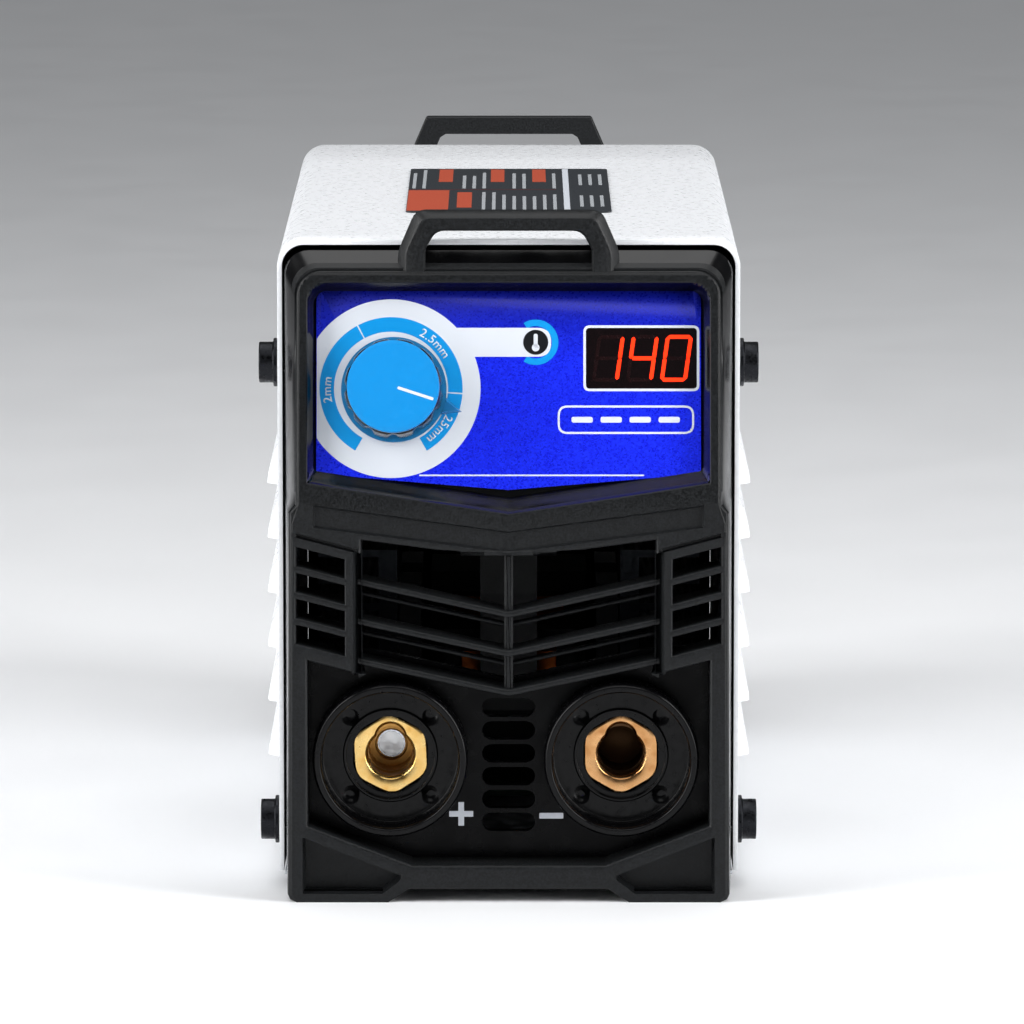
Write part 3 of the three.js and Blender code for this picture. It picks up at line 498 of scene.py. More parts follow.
cover = paint(cover_sheet(), COAT)
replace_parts(cover, "top_cover")
wall = cover.modifiers.new("sheet", "SOLIDIFY")
wall.thickness = SHEET * MM
wall.offset = -1
wall.use_even_offset = True
wall.use_quality_normals = True
cover.data.materials.append(plain("primer_dark_grey", "#1B1D20", 0.7, 0.6, 0.6, 0.8))
wall.material_offset = 1
rim = cover.modifiers.new("rim", "BEVEL")
rim.width = 0.22 * MM
rim.segments = 2
rim.limit_method = "ANGLE"
rim.angle_limit = math.radians(60)
rim.use_clamp_overlap = True
print("cover faces", len(cover.data.polygons))

# %% [markdown]
# ## Rear end, pan, screws
# The rear end, floor pan and screws keep the frame's true shapes with every opening in them. Their
# edges are rounded by a few tenths of a millimetre, as a moulding's and a screw head's are.

# %% Rear end, base pan and screws
paint(softened("rear_bezel", 0.45, 3), TEXTURED)
paint(softened("base_pan", 0.2, 1), ZINC)
screws = [name for name in nodes if name.startswith(("cover_screw", "fan_screw"))]
for name in screws:
    paint(softened(name, 0.25, 3), BLACK_OXIDE)
print("screws", len(screws))

# %% [markdown]
# ## The front end
# The front end is one moulding with a window, a grille, vents, a socket bay and two foot pockets.
# Cutting those into a block would leave razor edges that no bevel tidies well. Its face is really
# a height field: a depth for each place. So the rows of a grid follow the moulding's own lines,
# the shallow Vs, and crowd together at every edge, where the depth rolls over like a real radius.

# %% Lines and columns that the front face follows
def line_through(*points):
    """Height of a straight-sided line above each distance from the middle."""
    x, z = np.array(points, float).T
    return lambda side: np.interp(side, x, z) + np.where(
        side > x[-1], (side - x[-1]) * (z[-1] - z[-2]) / (x[-1] - x[-2]), 0
    )


EDGE_R = 0.7
FOOT_LINE = line_through((0, 2.8), (20.7, 2.8), (25, 0), (50, 0))
POCKET_LOW = line_through((0, 4.9), (22.4, 4.9), (26.2, 2.0), (50, 2.0))
POCKET_TOP = line_through((0, 5.5), (22.4, 5.5), (42.4, 13.4))
BAY_LOW = line_through((0, 7.8), (20, 7.8), (41.6, 16.1))
BAY_TOP = line_through((0, 43.2), (30.4, 47.9), (41.6, 50.8))
GRILLE_TOP = line_through((0, 72.0), (30.4, 76.05))
STRIP_LOW, STRIP_TOP = line_through((0, 73.5), (40.4, 78.7)), line_through((0, 77.9), (40.4, 83.5))
WINDOW_LOW = line_through((0, 81.6), (41.5, 88.0))
WINDOW_HALF, WINDOW_TOP, FACE_TOP = 41.5, 128.5, 131.1
GRILLE_HALF, BAY_HALF, STRIP_HALF = 30.4, 41.6, 40.4
SLOT_IN, SLOT_OUT = 33.9, 43.9
SLOT_Z = 71.4 - 5.42 * np.arange(4)


def slot_line(k, half):
    """One long edge of side slot k, half a slot above or below its middle."""
    rise = 9 * 0.26
    return line_through((30, SLOT_Z[k] - rise + half), (48, SLOT_Z[k] + rise + half))


GROOVE = line_through((30, 73.2), (46, 77.4))
lip_in = np.array([-0.02, 0, 0.06, 0.2, 0.42, EDGE_R])
lip_out = np.array([-EDGE_R, -0.42, -0.2, -0.06, 0, 0.02])
row_plan = [
    (FOOT_LINE, [0.0, 0.3]),
    (POCKET_LOW, [-0.4, -0.2, 0, 0.25]),
    (POCKET_TOP, [-0.25, 0, 0.2, 0.4]),
    (BAY_LOW, lip_out),
    (BAY_TOP, lip_in)
]
for k in range(3, -1, -1):
    row_plan += [(slot_line(k, -1.95), lip_out * 0.6), (slot_line(k, 1.95), lip_in * 0.6)]
row_plan += [
    (GROOVE, [-0.25, 0, 0.5, 0.75]),
    (GRILLE_TOP, lip_in),
    (STRIP_LOW, [-0.2, 0, 0.2, 0.4]),
    (STRIP_TOP, [-0.4, -0.2, 0, 0.2]),
    (WINDOW_LOW, [-0.5, -0.3, -0.12, 0, 0.7, 1.6, 2.6, 3.6]),
    (line_through((0, 100), (50, 100)), [0, 8, 16]),
    (
        line_through((0, WINDOW_TOP), (50, WINDOW_TOP)),
        np.concatenate([np.arange(-6, 0, 0.5), [0, 0.12, 0.3, 0.5]]),
    ),
    (line_through((0, FACE_TOP), (50, FACE_TOP)), [-1.2, -0.6]),
]
columns = np.unique(np.round(np.concatenate([
    [0, 0.6, 2, 5, 10, 15, 20, 20.7, 22.4, 22.65, 22.9, 25, 26.2, 28, 29.5],
    GRILLE_HALF + np.array([-0.02, 0, 0.1, 0.3, 0.6, 1.0, 1.4, 1.8]),
    SLOT_IN + lip_out * 0.6,
    SLOT_OUT + lip_in * 0.6,
    [35, 36, 38],
    WINDOW_HALF - np.arange(0, 5, 0.5),
    WINDOW_HALF + np.array([0.12, 0.3, 0.5]),
    STRIP_HALF + np.array([-0.4, -0.2, 0, 0.2]),
    BAY_HALF + lip_in,
    42.4 + np.array([-0.25, 0, 0.2, 0.4]),
    [44.7],
]), 3))
print("front rows", sum(len(offsets) for _, offsets in row_plan), "columns", 2 * len(columns) - 1)


# %% Depth of the front face
def roll(inside, radius):
    """Depth of a rounded lip: a quarter circle over `radius` before the edge, where inside is below 0."""
    over = np.clip(inside + radius, 0, radius)
    return radius - np.sqrt(np.maximum(radius**2 - over**2, 0))


def sunk(inside, deep, width):
    """Depth of a shallow recess: a smooth step over `width` mm from its edge inwards."""
    t = np.clip(inside / width, 0, 1)
    return deep * t * t * (3 - 2 * t)


def nearest(*distances):
    """The least of several distances inside: how far it is to the closest side."""
    return np.minimum.reduce(np.broadcast_arrays(*distances))


def rounded_inside(side, top, radius):
    """Distance inside a corner that is rounded: like nearest(), but along the arc in the corner."""
    past = np.hypot(np.maximum(radius - side, 0), np.maximum(radius - top, 0))
    return np.where((side < radius) & (top < radius), radius - past, np.minimum(side, top))


def front_depth(side, z):
    """The deepest of all the features at each place, and how far inside an opening it is."""
    slots = [
        nearest(
            side - SLOT_IN, SLOT_OUT - side, z - slot_line(k, -1.95)(side), slot_line(k, 1.95)(side) - z
        ) for k in range(4)
    ]
    grille = nearest(GRILLE_HALF - side, z - BAY_LOW(side), GRILLE_TOP(side) - z)
    bay = nearest(BAY_HALF - side, z - BAY_LOW(side), BAY_TOP(side) - z)
    opening = np.maximum.reduce([grille, bay])
    through = np.maximum(opening, np.maximum.reduce(slots))
    depth = np.maximum(roll(opening, EDGE_R), roll(np.maximum.reduce(slots), EDGE_R * 0.6))
    depth = np.where(through > 0.01, 9.4, depth)
    slope_in = nearest((WINDOW_HALF - side) / 1.6, (WINDOW_TOP - z) / 1.7, (z - WINDOW_LOW(side)) / 3.4)
    corner = rounded_inside(WINDOW_HALF - side, WINDOW_TOP - z, 4.0)
    edge = np.minimum(corner, z - WINDOW_LOW(side))
    window = roll(np.minimum(edge, 0), 0.45) + np.clip(np.minimum(slope_in, corner / 1.65), 0, 1) * 3.75
    window = np.where(edge > -0.45, window, 0)
    strip = sunk(nearest(STRIP_HALF - side, z - STRIP_LOW(side), STRIP_TOP(side) - z), 0.75, 0.4)
    groove = sunk(
        nearest(side - 31.2, 44.4 - side, z - GROOVE(side) + 0.25, GROOVE(side) + 0.75 - z), 1.3, 0.3
    )
    pocket = sunk(
        nearest(side - 22.4, 42.6 - side, z - POCKET_LOW(side) + 0.2, POCKET_TOP(side) + 0.2 - z), 5.0, 0.45
    )
    step = np.where(
        (side > GRILLE_HALF) & (side < 32.4) & (z > BAY_TOP(side)) & (z < GROOVE(side)),
        (32.4 - side) * 1.6,
        0
    )
    return np.maximum.reduce([depth, window, strip, groove, pocket, np.where(depth < 9, step, 0)]), through


def face_half(z):
    """Half width of the face: it steps in above the crease."""
    return np.interp(z, [0, 1.6, 81.9, 83.4], [44.6, 45.9, 45.3, 43.9])


def lean_out(x, z, depth):
    """The face stands upright below the crease and leans back above it; depth turns with it."""
    angle = LEAN * np.clip((z - CREASE + 7) / 7, 0, 1)
    back = np.maximum(z - CREASE, 0) * math.tan(LEAN)
    return place(x, back + depth * np.cos(angle), z - depth * np.sin(angle))


def front_face():
    """Rows follow the planned lines, columns run outwards, and openings are left without faces."""
    side = columns[None]
    z = np.concatenate([line(side) + np.asarray(offsets, float)[:, None] for line, offsets in row_plan])
    z = np.maximum.accumulate(z, axis=0)
    depth, through = front_depth(side, z)
    stretch = (face_half(z) - EDGE_R * 0.8 - BAY_HALF) / (columns[-1] - BAY_HALF)
    x = np.where(side > BAY_HALF, BAY_HALF + (side - BAY_HALF) * stretch, side)
    corner_x, corner_z, reach = face_half(z) - 5.2, FACE_TOP - 5.2, 4.7
    out_x, out_z = np.maximum(x - corner_x, 0), np.maximum(z - corner_z, 0)
    pull = np.where(
        (out_x > 0) & (out_z > 0), np.minimum(1, reach / np.maximum(np.hypot(out_x, out_z), 1e-6)), 1
    )
    x, z = np.where(pull < 1, corner_x + out_x * pull, x), np.where(pull < 1, corner_z + out_z * pull, z)
    both = lambda field, sign=1: np.concatenate([sign * field[:, :0:-1], field], 1)
    folded = both(pull < 0.999).ravel()
    points = lean_out(both(x, -1), both(z), both(depth))
    faces = grid_faces(*points.shape[:2])
    gap = both(np.broadcast_to(through, z.shape)).ravel()[faces].min(1) > 0.01
    tall = np.ptp(
        points.reshape(-1, 3)[faces][..., 2], axis=1
    ) + np.ptp(points.reshape(-1, 3)[faces][..., 0], axis=1)
    return new_piece("front_face", points, faces[~gap & (tall > 1e-7) & ~folded[faces].all(1)].tolist())


def face_middles(piece):
    """Each face's middle in drawing millimetres, and how far it lies behind the leaning face."""
    middle = np.array([polygon.center[:] for polygon in piece.data.polygons]) / MM - [0, FRONT, 0]
    return middle, middle[:, 1] - np.maximum(middle[:, 2] - CREASE, 0) * math.tan(LEAN)


def two_gloss(piece, polished):
    """Textured all over, apart from the faces that the mould's polished steel touched."""
    piece.data.materials.append(TEXTURED)
    piece.data.materials.append(POLISHED)
    piece.data.polygons.foreach_set("material_index", polished.astype(np.int32))


face = front_face()
skin = face.modifiers.new("wall", "SOLIDIFY")
skin.thickness = 1.0 * MM
skin.offset = -1
middle, behind = face_middles(face)
side, height = np.abs(middle[:, 0]), middle[:, 2]
in_window = (side < WINDOW_HALF + 0.2) & (height > WINDOW_LOW(side) - 0.3) & (behind > 0.35)
two_gloss(face, in_window)
print("front face", len(face.data.polygons), "faces")


# %% [markdown]
# The surround closes the moulding's outside: one outline with its feet, carried from just inside
# the face, over a rounded edge, back along the sloping flank and into the sleeve under the cover.

# %% Surround, blades and strap loop
def end_outline(half, top, radius, low, steps=9):
    """Half an end's outline, mirrored: foot, side step, side and a rounded top corner."""
    turn = np.linspace(0, np.pi / 2, steps)
    side = [
        (0, 2.8),
        (19.8, 2.8),
        (20.7, 2.7),
        (24.6, 0.2),
        (25.2, 0),
        (low - 1.6, 0),
        (low - 0.5, 0.5),
        (low, 1.6)
    ]
    side += [(low - (low - min(half + 1.4, low)) * 0.9, 81.7), (half, 83.4)]
    arc = np.stack([half - radius + radius * np.cos(turn), top - radius + radius * np.sin(turn)], 1)
    right = np.concatenate(
        [np.array(side, float), np.linspace((half, 86), (half, top - radius - 1), 6), arc]
    )
    return np.concatenate([right, (right * [-1, 1])[::-1][: len(right) - 1]])


face_ring = end_outline(43.9, FACE_TOP, 5.2, 45.9)
_, shoulder_high = (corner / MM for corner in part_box("front_bezel"))
SLEEVE_HALF, SLEEVE_TOP, SHOULDER = shoulder_high.x, 134.8, 14.0
SLEEVE_END = shoulder_high.y - FRONT
back_ring = end_outline(SLEEVE_HALF, SLEEVE_TOP, 5.0, SLEEVE_HALF)


def drawn_in(ring, amount):
    """The outline moved inwards by an amount."""
    return ring - outward(ring) * amount


def blend_rings(part):
    """A ring part way from the face's outline to the shoulder's, as frame points."""
    near, far = lean_out(face_ring[:, 0], face_ring[:, 1], 0.0), upright(
        back_ring[:, 0], back_ring[:, 1], SHOULDER
    )
    return near + (far - near) * part


front_rings = [
    lean_out(*drawn_in(face_ring, inset).T, depth) for inset,
    depth in ((2.2, 3.0), (1.6, 0.25), (0.75, 0.02), (0.4, 0.08), (0.15, 0.28), (0.0, 0.75))
]
flank_rings = [blend_rings(part) for part in (0.12, 0.35, 0.6, 0.85, 0.97)]
sleeve_rings = [
    upright(*drawn_in(back_ring, inset).T, y) for inset,
    y in ((0.1, SHOULDER + 0.2), (0.1, SLEEVE_END - 0.3), (0.4, SLEEVE_END - 0.1))
]
shell_points = np.stack(front_rings + flank_rings + sleeve_rings)
surround_piece = new_piece(
    "front_surround", shell_points, grid_faces(*shell_points.shape[:2], round_columns=True).tolist()
)
skin = surround_piece.modifiers.new("wall", "SOLIDIFY")
skin.thickness = 0.8 * MM
skin.offset = -1
two_gloss(surround_piece, face_middles(surround_piece)[1] > 1.2)


def blade(name, middle, end, y0, y1, thick, reach=31.2):
    """A rounded strip's section carried along a shallow V: its height is middle + slope |x|."""
    section = rounded(
        [(y0, -thick), (y1, -thick), (y1, 0), (y0, 0)], [thick * 0.48, 0.1, 0.1, thick * 0.48], 6
    )
    x = np.concatenate([-np.linspace(reach, 1, 8), [-0.4, 0, 0.4], np.linspace(1, reach, 8)])
    height = middle + (end - middle) * np.sqrt(x**2 + 0.3) / 30.4
    points = place(x[:, None], section[None, :, 0], height[:, None] + section[None, :, 1])
    count = len(section)
    ends = [list(range(count)), list(range(count * (len(x) - 1), count * len(x)))[::-1]]
    return new_piece(name, points, grid_faces(len(x), count, round_columns=True).tolist() + ends)


blades = [blade("blade", *heights, 1.4, 9.2, 1.4) for heights in ((60.9, 67.7), (52.7, 59.4), (44.5, 51.1))]
blades += [bar("rib", -0.9, 0.9, 43.4, 72.8, [2.6, 9.2], upright, 0.4, 0.5)]
blades += [
    blade("blade_back", middle - 3.4, end - 3.4, 7.0, 9.2, 0.9) for middle,
    end in ((60.9, 67.7), (52.7, 59.4))
]
paint(joined("front_grille_blades", blades), TEXTURED)


def strap_loop(name, y0, y1, slope_front):
    """A trapezoid arch: outer and inner outlines lofted through a bevelled section."""
    outer = np.array(
        [(-22.9, 130.0), (-22.9, 134.6), (-19.2, 143.2), (19.2, 143.2), (22.9, 134.6), (22.9, 130.0)]
    )
    inner = np.array(
        [(-17.2, 130.0), (-17.2, 135.4), (-15.0, 139.2), (15.0, 139.2), (17.2, 135.4), (17.2, 130.0)]
    )
    outer, inner = rounded(
        outer, [0.01, 1.5, 2.2, 2.2, 1.5, 0.01], 6
    ), rounded(inner, [0.01, 1.2, 1.8, 1.8, 1.2, 0.01], 6)
    toward = (inner - outer) / np.linalg.norm(inner - outer, axis=1, keepdims=True)
    sections = [(0.6, y1), (0.0, y1 - 0.6), (0.0, y0 + 1.9), (1.5, y0 + 0.25), (1.9, y0)]
    if not slope_front:
        sections = [(inset, y0 + y1 - y) for inset, y in sections]
    rings = [(outer + toward * inset, y) for inset, y in sections]
    rings += [
        (inner - toward * inset, y) for inset,
        y in reversed(
            [
                (0.5, sections[0][1]),
                (0.0, sections[1][1]),
                (0.0, sections[3][1] + (0.35 if slope_front else -0.35)),
                (0.45, sections[4][1])
            ]
        )
    ]
    points = np.stack([upright(ring[:, 0], ring[:, 1], y) for ring, y in rings])
    count = points.shape[1]
    faces = grid_faces(len(rings), count, round_rows=True).tolist()
    ends = [
        [k * count for k in range(len(rings))], [k * count + count - 1 for k in range(len(rings))][::-1]
    ]
    return new_piece(name, points, faces + ends)


paint(strap_loop("front_strap_loop", 9.2, 14.4, True), TEXTURED)
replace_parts(surround_piece, "front_bezel")
print("surround", len(surround_piece.data.polygons), "blades", len(blades))

# %% [markdown]
# ## The control panel
# The panel is a printed film: blue with a fine metallic sparkle, and white and cyan shapes on it.
# Printing could be a picture, but flat shapes a few hundredths thick stay sharp at any distance and
# keep their own finish, so each printed area is a very thin slab on the film.

# %% Print finishes
def sparkle_blue():
    """Royal blue ink with metal flakes a quarter of a millimetre across under a clear film. The top 14 mm
    are mixed towards navy: painted shade under the bezel's upper edge."""
    material, tree, surface, spot = finish("film_blue_sparkle", "#0B1BD0", 0.3, 0.25)
    surface.inputs["Coat Weight"].default_value = 0.12
    surface.inputs["Coat Roughness"].default_value = 0.12
    flakes = add_node(tree, "ShaderNodeTexVoronoi", {"Vector": spot, "Scale": across(0.3)}).outputs["Color"]
    shade = add_node(tree, "ShaderNodeSeparateColor", {"Color": flakes}).outputs["Red"]
    blue = tint(tree, surface, shade, "#0C1CDE", "#1631FF", 0.1, 1.0)
    # Painted shade: the blue is mixed towards navy up the top of the panel, where the bezel's upper edge
    # shades it.
    height = add_node(tree, "ShaderNodeSeparateXYZ", {"Vector": spot}).outputs["Z"]
    top_shade_fade = add_node(
        tree, "ShaderNodeMapRange", {"Value": height, "From Min": 0.112, "From Max": 0.129, "To Max": 0.9}
    )
    painted_top_shade = {"Fac": top_shade_fade.outputs["Result"], "Color1": blue, "Color2": linear("#02063C")}
    tree.links.new(add_node(tree, "ShaderNodeMixRGB", painted_top_shade).outputs["Color"], surface.inputs["Base Color"])
    vary(tree, surface, shade, 0.26, 0.36, start=0, stop=1)
    return material


def ink(name, colour, roughness=0.32, mottle=0.03):
    """Opaque screen ink: almost even, with a slight mottle half a millimetre across."""
    material, tree, surface, spot = finish("ink_" + name, colour, roughness)
    body = add_node(tree, "ShaderNodeTexNoise", {"Vector": spot, "Scale": across(0.5)}).outputs["Fac"]
    vary(tree, surface, body, roughness - mottle, roughness + mottle)
    return material


def glowing(name, colour, strength):
    """A lit segment: a light diffuser that gives off its own colour."""
    material, tree, surface, _ = finish(name, colour, 0.4)
    surface.inputs["Emission Color"].default_value = linear(colour)
    surface.inputs["Emission Strength"].default_value = strength
    return material


FILM = sparkle_blue()
WHITE_INK, CYAN_INK, DARK_INK = ink("white", "#D3D8E0"), ink("cyan", "#0590D8"), ink("dark", "#101216")
ORANGE_INK, DIM_INK = ink("orange", "#B84A2C"), ink("dim_white", "#A9ADB1")
print("inks ready")

# %% Overlay and printed shapes
film_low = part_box("control_overlay")[0]
FILM_DEPTH = 3.5
paint(softened("control_overlay", 0.08, 1), FILM)


def disc_part(name, centre, inner, outer, start, stop, depth, sides=96):
    """A printed part of a ring between two angles in degrees: a grid of angle by radius, closed."""
    angle = np.radians(np.linspace(start, stop, sides))
    outline = np.concatenate([
        np.stack([outer * np.cos(angle), outer * np.sin(angle)], 1),
        np.stack([inner * np.cos(angle[::-1]), inner * np.sin(angle[::-1])], 1),
    ]) + centre
    rings = on_panel(outline[:, 0], outline[:, 1], np.array([[depth], [depth + 0.03]]))
    strip = np.arange(sides - 1)
    back = 2 * sides - 1 - strip
    front = np.stack([strip, strip + 1, back - 1, back], 1)
    walls = grid_faces(2, 2 * sides, round_columns=True)
    return new_piece(name, rings, np.concatenate([front, front[:, ::-1] + 2 * sides, walls]).tolist())


def clipped_disc(name, centre, radius, left, depth):
    """A printed disc cut off by a straight left edge."""
    angle = np.linspace(0, 2 * math.pi, 160, endpoint=False)
    outline = np.stack(
        [np.maximum(centre[0] + radius * np.cos(angle), left), centre[1] + radius * np.sin(angle)], 1
    )
    return slab(name, outline, [depth, depth + 0.03], on_panel)


def figure(text, x, up, height, turn, depth, where=on_panel):
    """One printed figure or letter from the plain built-in font, made a mesh before it is placed."""
    curve = bpy.data.curves.new("figure", "FONT")
    curve.body, curve.size, curve.align_x, curve.align_y = text, height / 0.69, "CENTER", "BOTTOM_BASELINE"
    curve.offset = height * 0.016
    drawn = bpy.data.objects.new("figure", curve)
    bpy.context.collection.objects.link(drawn)
    bpy.context.view_layer.update()
    mesh = bpy.data.meshes.new_from_object(drawn.evaluated_get(bpy.context.evaluated_depsgraph_get()))
    flat = np.empty(len(mesh.vertices) * 3)
    mesh.vertices.foreach_get("co", flat)
    flat = flat.reshape(-1, 3)[:, :2]
    faces = np.array([list(polygon.vertices) for polygon in mesh.polygons])
    bpy.data.objects.remove(drawn)
    spin = np.array([[math.cos(turn), -math.sin(turn)], [math.sin(turn), math.cos(turn)]])
    flat = flat @ spin.T + [x, up]
    return new_piece("print_" + text, where(flat[:, 0], flat[:, 1], depth), faces.tolist())


def dial_figures(text, middle, radius, height, pitch, depth):
    """Figures round the dial, tops outwards, each as wide as its letter: a point is narrow, an m is wide."""
    wide = pitch * np.array([{".": 0.5, "m": 1.35}.get(letter, 0.92) for letter in text])
    turns = math.radians(middle) - (np.cumsum(wide) - wide / 2 - wide.sum() / 2) / radius
    return [
        figure(
            letter,
            dial_print[0] + radius * math.cos(a),
            dial_print[1] + radius * math.sin(a),
            height,
            a - math.pi / 2,
            depth
        )
        for letter, a in zip(text, turns)
    ]


def thickened(piece, thick=0.03):
    """Flat figures get the thickness of a layer of ink."""
    layer = piece.modifiers.new("ink", "SOLIDIFY")
    layer.thickness = thick * MM
    return piece


dial = (DIAL_X, DIAL_UP)
dial_print = (DIAL_X - 0.6, DIAL_UP + 0.3)
edge_left = film_low.x / MM + 0.15
paper = clipped_disc("print_dial", dial_print, 18.5, edge_left, FILM_DEPTH - 0.03)
bar_low, bar_high = 30.3, 36.3
stem = rounded(
    [(DIAL_X + 12, bar_low), (8.8, bar_low), (8.8, bar_high), (DIAL_X + 12, bar_high)],
    [0.01, 2.9, 2.9, 0.01],
    12
)
lead = slab("print_stem", stem, [FILM_DEPTH - 0.028, FILM_DEPTH], on_panel)
paint(joined("panel_white_print", [paper, lead]), WHITE_INK)
arcs = [
    disc_part("print_arc", dial_print, 11.8, 14.8, a, b, FILM_DEPTH - 0.06) for a,
    b in ((-60, -4.6), (-3.4, 117.4), (118.6, 240))
]
paint(joined("panel_dial_arcs", arcs), CYAN_INK)
sizes = [
    piece
    for text, middle in (("2.5mm", 46), ("3.25mm", -35), ("2mm", 181))
    for piece in dial_figures(text, middle, 12.45, 1.75, 1.45, FILM_DEPTH - 0.09)
]
paint(thickened(joined("panel_dial_figures", sizes)), WHITE_INK)
print("panel prints", len(arcs) + len(sizes) + 2)

# %% [markdown]
# ### The temperature lamp and the display
# Beside the dial is a round mark for the overheat lamp, with a thermometer in it. The display is a
# seven segment module behind a smoked window: segments are slanted bars, lit where the figure
# needs them, and the unlit ones just show. Each figure is a list of which of its bars are lit.

# %% Lamp mark and display
lamp_low, lamp_high = (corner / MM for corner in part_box("temperature_led"))
LAMP = ((lamp_low.x + lamp_high.x) / 2, (bar_low + bar_high) / 2)
halo = disc_part("panel_lamp_halo", LAMP, 3.35, 4.7, -122, 122, FILM_DEPTH - 0.02)
paint(halo, CYAN_INK)
mark = slab(
    "lamp_disc",
    rounded(
        [
            (
                LAMP[0] + 2.6 * math.cos(a), LAMP[1] + 2.6 * math.sin(a)
            ) for a in np.linspace(0, 2 * math.pi, 24, endpoint=False)
        ],
        0.3
    ),
    [FILM_DEPTH - 0.06, FILM_DEPTH - 0.02],
    on_panel
)
paint(mark, DARK_INK)
stalk = rounded(
    [
        (LAMP[0] - 0.42, LAMP[1] - 1.0),
        (LAMP[0] + 0.42, LAMP[1] - 1.0),
        (LAMP[0] + 0.42, LAMP[1] + 1.75),
        (LAMP[0] - 0.42, LAMP[1] + 1.75)
    ],
    0.38
)
tube = slab("lamp_tube", stalk, [FILM_DEPTH - 0.09, FILM_DEPTH - 0.05], on_panel)
bulb = disc_part("lamp_bulb", (LAMP[0], LAMP[1] - 1.1), 0.05, 0.8, 0, 359.9, FILM_DEPTH - 0.09, 32)
paint(joined("panel_lamp_thermometer", [tube, bulb]), WHITE_INK)

window_low, window_high = (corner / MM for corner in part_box("display_window"))
WINDOW_X = (window_low.x, window_high.x)


def up_of(z):
    """How far up the leaning panel a height lies, 3.9 mm in from its face."""
    return (z - CREASE + 3.9 * math.sin(LEAN)) / math.cos(LEAN)


WINDOW_UP = (up_of(window_low.z) + 0.1, up_of(window_high.z) - 0.1)
SEGMENTS = {
    "a": (0, 1, 1),
    "g": (0, 0, 1),
    "d": (0, -1, 1),
    "b": (1, 0.5, 0),
    "f": (-1, 0.5, 0),
    "c": (1, -0.5, 0),
    "e": (-1, -0.5, 0)
}
LIT = {"1": "bc", "4": "bcfg", "0": "abcdef"}


def segment(name, x, up, key, tall, depth):
    """One bar of a figure: a six-sided outline, level or upright, slanted by 8 degrees."""
    across_x, along_up, level = SEGMENTS[key]
    wide, half = tall * 0.26, tall * 0.043
    reach = wide - half * 0.9 if level else tall / 4 - half * 0.9
    line = np.array(
        [
            (-reach - half, 0),
            (-reach, half),
            (reach, half),
            (reach + half, 0),
            (reach, -half),
            (-reach, -half)
        ]
    )
    line = line if level else line[:, ::-1] * [1, 1]
    line = line + [across_x * wide, along_up * tall / 2 - np.sign(along_up) * half * 0.4]
    line[:, 0] += line[:, 1] * math.tan(math.radians(8))
    return slab(name, line + [x, up], [depth, depth + 0.03], on_panel)


middle_up = sum(WINDOW_UP) / 2
places = [WINDOW_X[0] + 4.6 + 7.05 * k for k in range(3)]
lit, unlit = [], []
for figure_text, x in zip("140", places):
    for key in SEGMENTS:
        group = lit if key in LIT[figure_text] else unlit
        group.append(segment("segment", x, middle_up, key, 9.2, FILM_DEPTH + 0.06))
LED_RED, LED_DARK = glowing("led_red_lit", "#FF2A00", 1.3), ink("led_unlit", "#140304", 0.25)
paint(joined("display_lit_segments", lit), LED_RED)
paint(joined("display_unlit_segments", unlit), LED_DARK)


def smoked_window():
    """Smoked acrylic, seen as a near black gloss with a trace of red."""
    material, tree, surface, spot = finish("acrylic_smoked_red", "#0A0304", 0.1)
    surface.inputs["Coat Weight"].default_value = 0.2
    wipe = add_node(
        tree, "ShaderNodeTexNoise", {"Vector": spot, "Scale": across(3.0), "Detail": 3.0}
    ).outputs["Fac"]
    vary(tree, surface, wipe, 0.07, 0.16)
    return material


paint(softened("display_window", 0.1, 2), smoked_window())


def border(name, x, up, wide, radius, depth):
    """A printed frame round a window: an outer and an inner rounded outline joined face to face."""
    corners = np.array([(x[0], up[0]), (x[1], up[0]), (x[1], up[1]), (x[0], up[1])])
    away = np.array([(-1, -1), (1, -1), (1, 1), (-1, 1)])
    outline = [rounded(corners + away * grow, radius + grow, 8) for grow in (wide, 0.02)]
    rings = [
        on_panel(line[:, 0], line[:, 1], d) for line,
        d in (
            (outline[0], depth + 0.03), (outline[0], depth), (outline[1], depth), (outline[1], depth + 0.03)
        )
    ]
    points = np.stack(rings)
    return new_piece(name, points, grid_faces(4, len(outline[0]), True, True).tolist())


paint(
    border("display_border", WINDOW_X, WINDOW_UP, 0.55, 0.8, FILM_DEPTH - 0.03), WHITE_INK
)
line_up = up_of(88.9)
foot_line = bar(
    "panel_foot_line",
    -18.5,
    28,
    line_up - 0.16,
    line_up + 0.16,
    [FILM_DEPTH - 0.03, FILM_DEPTH],
    on_panel,
    0.1,
    0.01
)
badge_up = up_of(100.2)
badge = border("panel_badge", (10.6, 37.9), (badge_up - 2.5, badge_up + 2.5), 0.45, 1.6, FILM_DEPTH - 0.03)
stripes = [
    bar(
        "badge_stripe",
        13 + 6.0 * k,
        17.4 + 6.0 * k,
        badge_up - 0.6,
        badge_up + 0.6,
        [FILM_DEPTH - 0.03, FILM_DEPTH],
        on_panel,
        0.45,
        0.01
    ) for k in range(4)
]
paint(joined("panel_plain_badge", [foot_line, badge] + stripes), WHITE_INK)
paint(nodes["display_module"], NYLON)
print("display segments lit", len(LIT["1"] + LIT["4"] + LIT["0"]))

# %% [markdown]
# ## The dial knob
# The knob is a scalloped black grip with a smooth blue cap pressed on, and a clear blue pointer ring
# at its foot. A turned profile gives each part; the scallops come from a ripple on the radius that
# is deepest at the foot, as if a ball-ended cutter had been run in twelve times.

# %% Knob
SCALLOPS = 12
grip_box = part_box("knob_body")
GRIP_R = (grip_box[1].x - grip_box[0].x) / 2 / MM
CAP_R = (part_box("knob_cap")[1].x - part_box("knob_cap")[0].x) / 2 / MM
CAP_FRONT, CAP_BACK, GRIP_BACK = -10.5, -7.8, 1.4


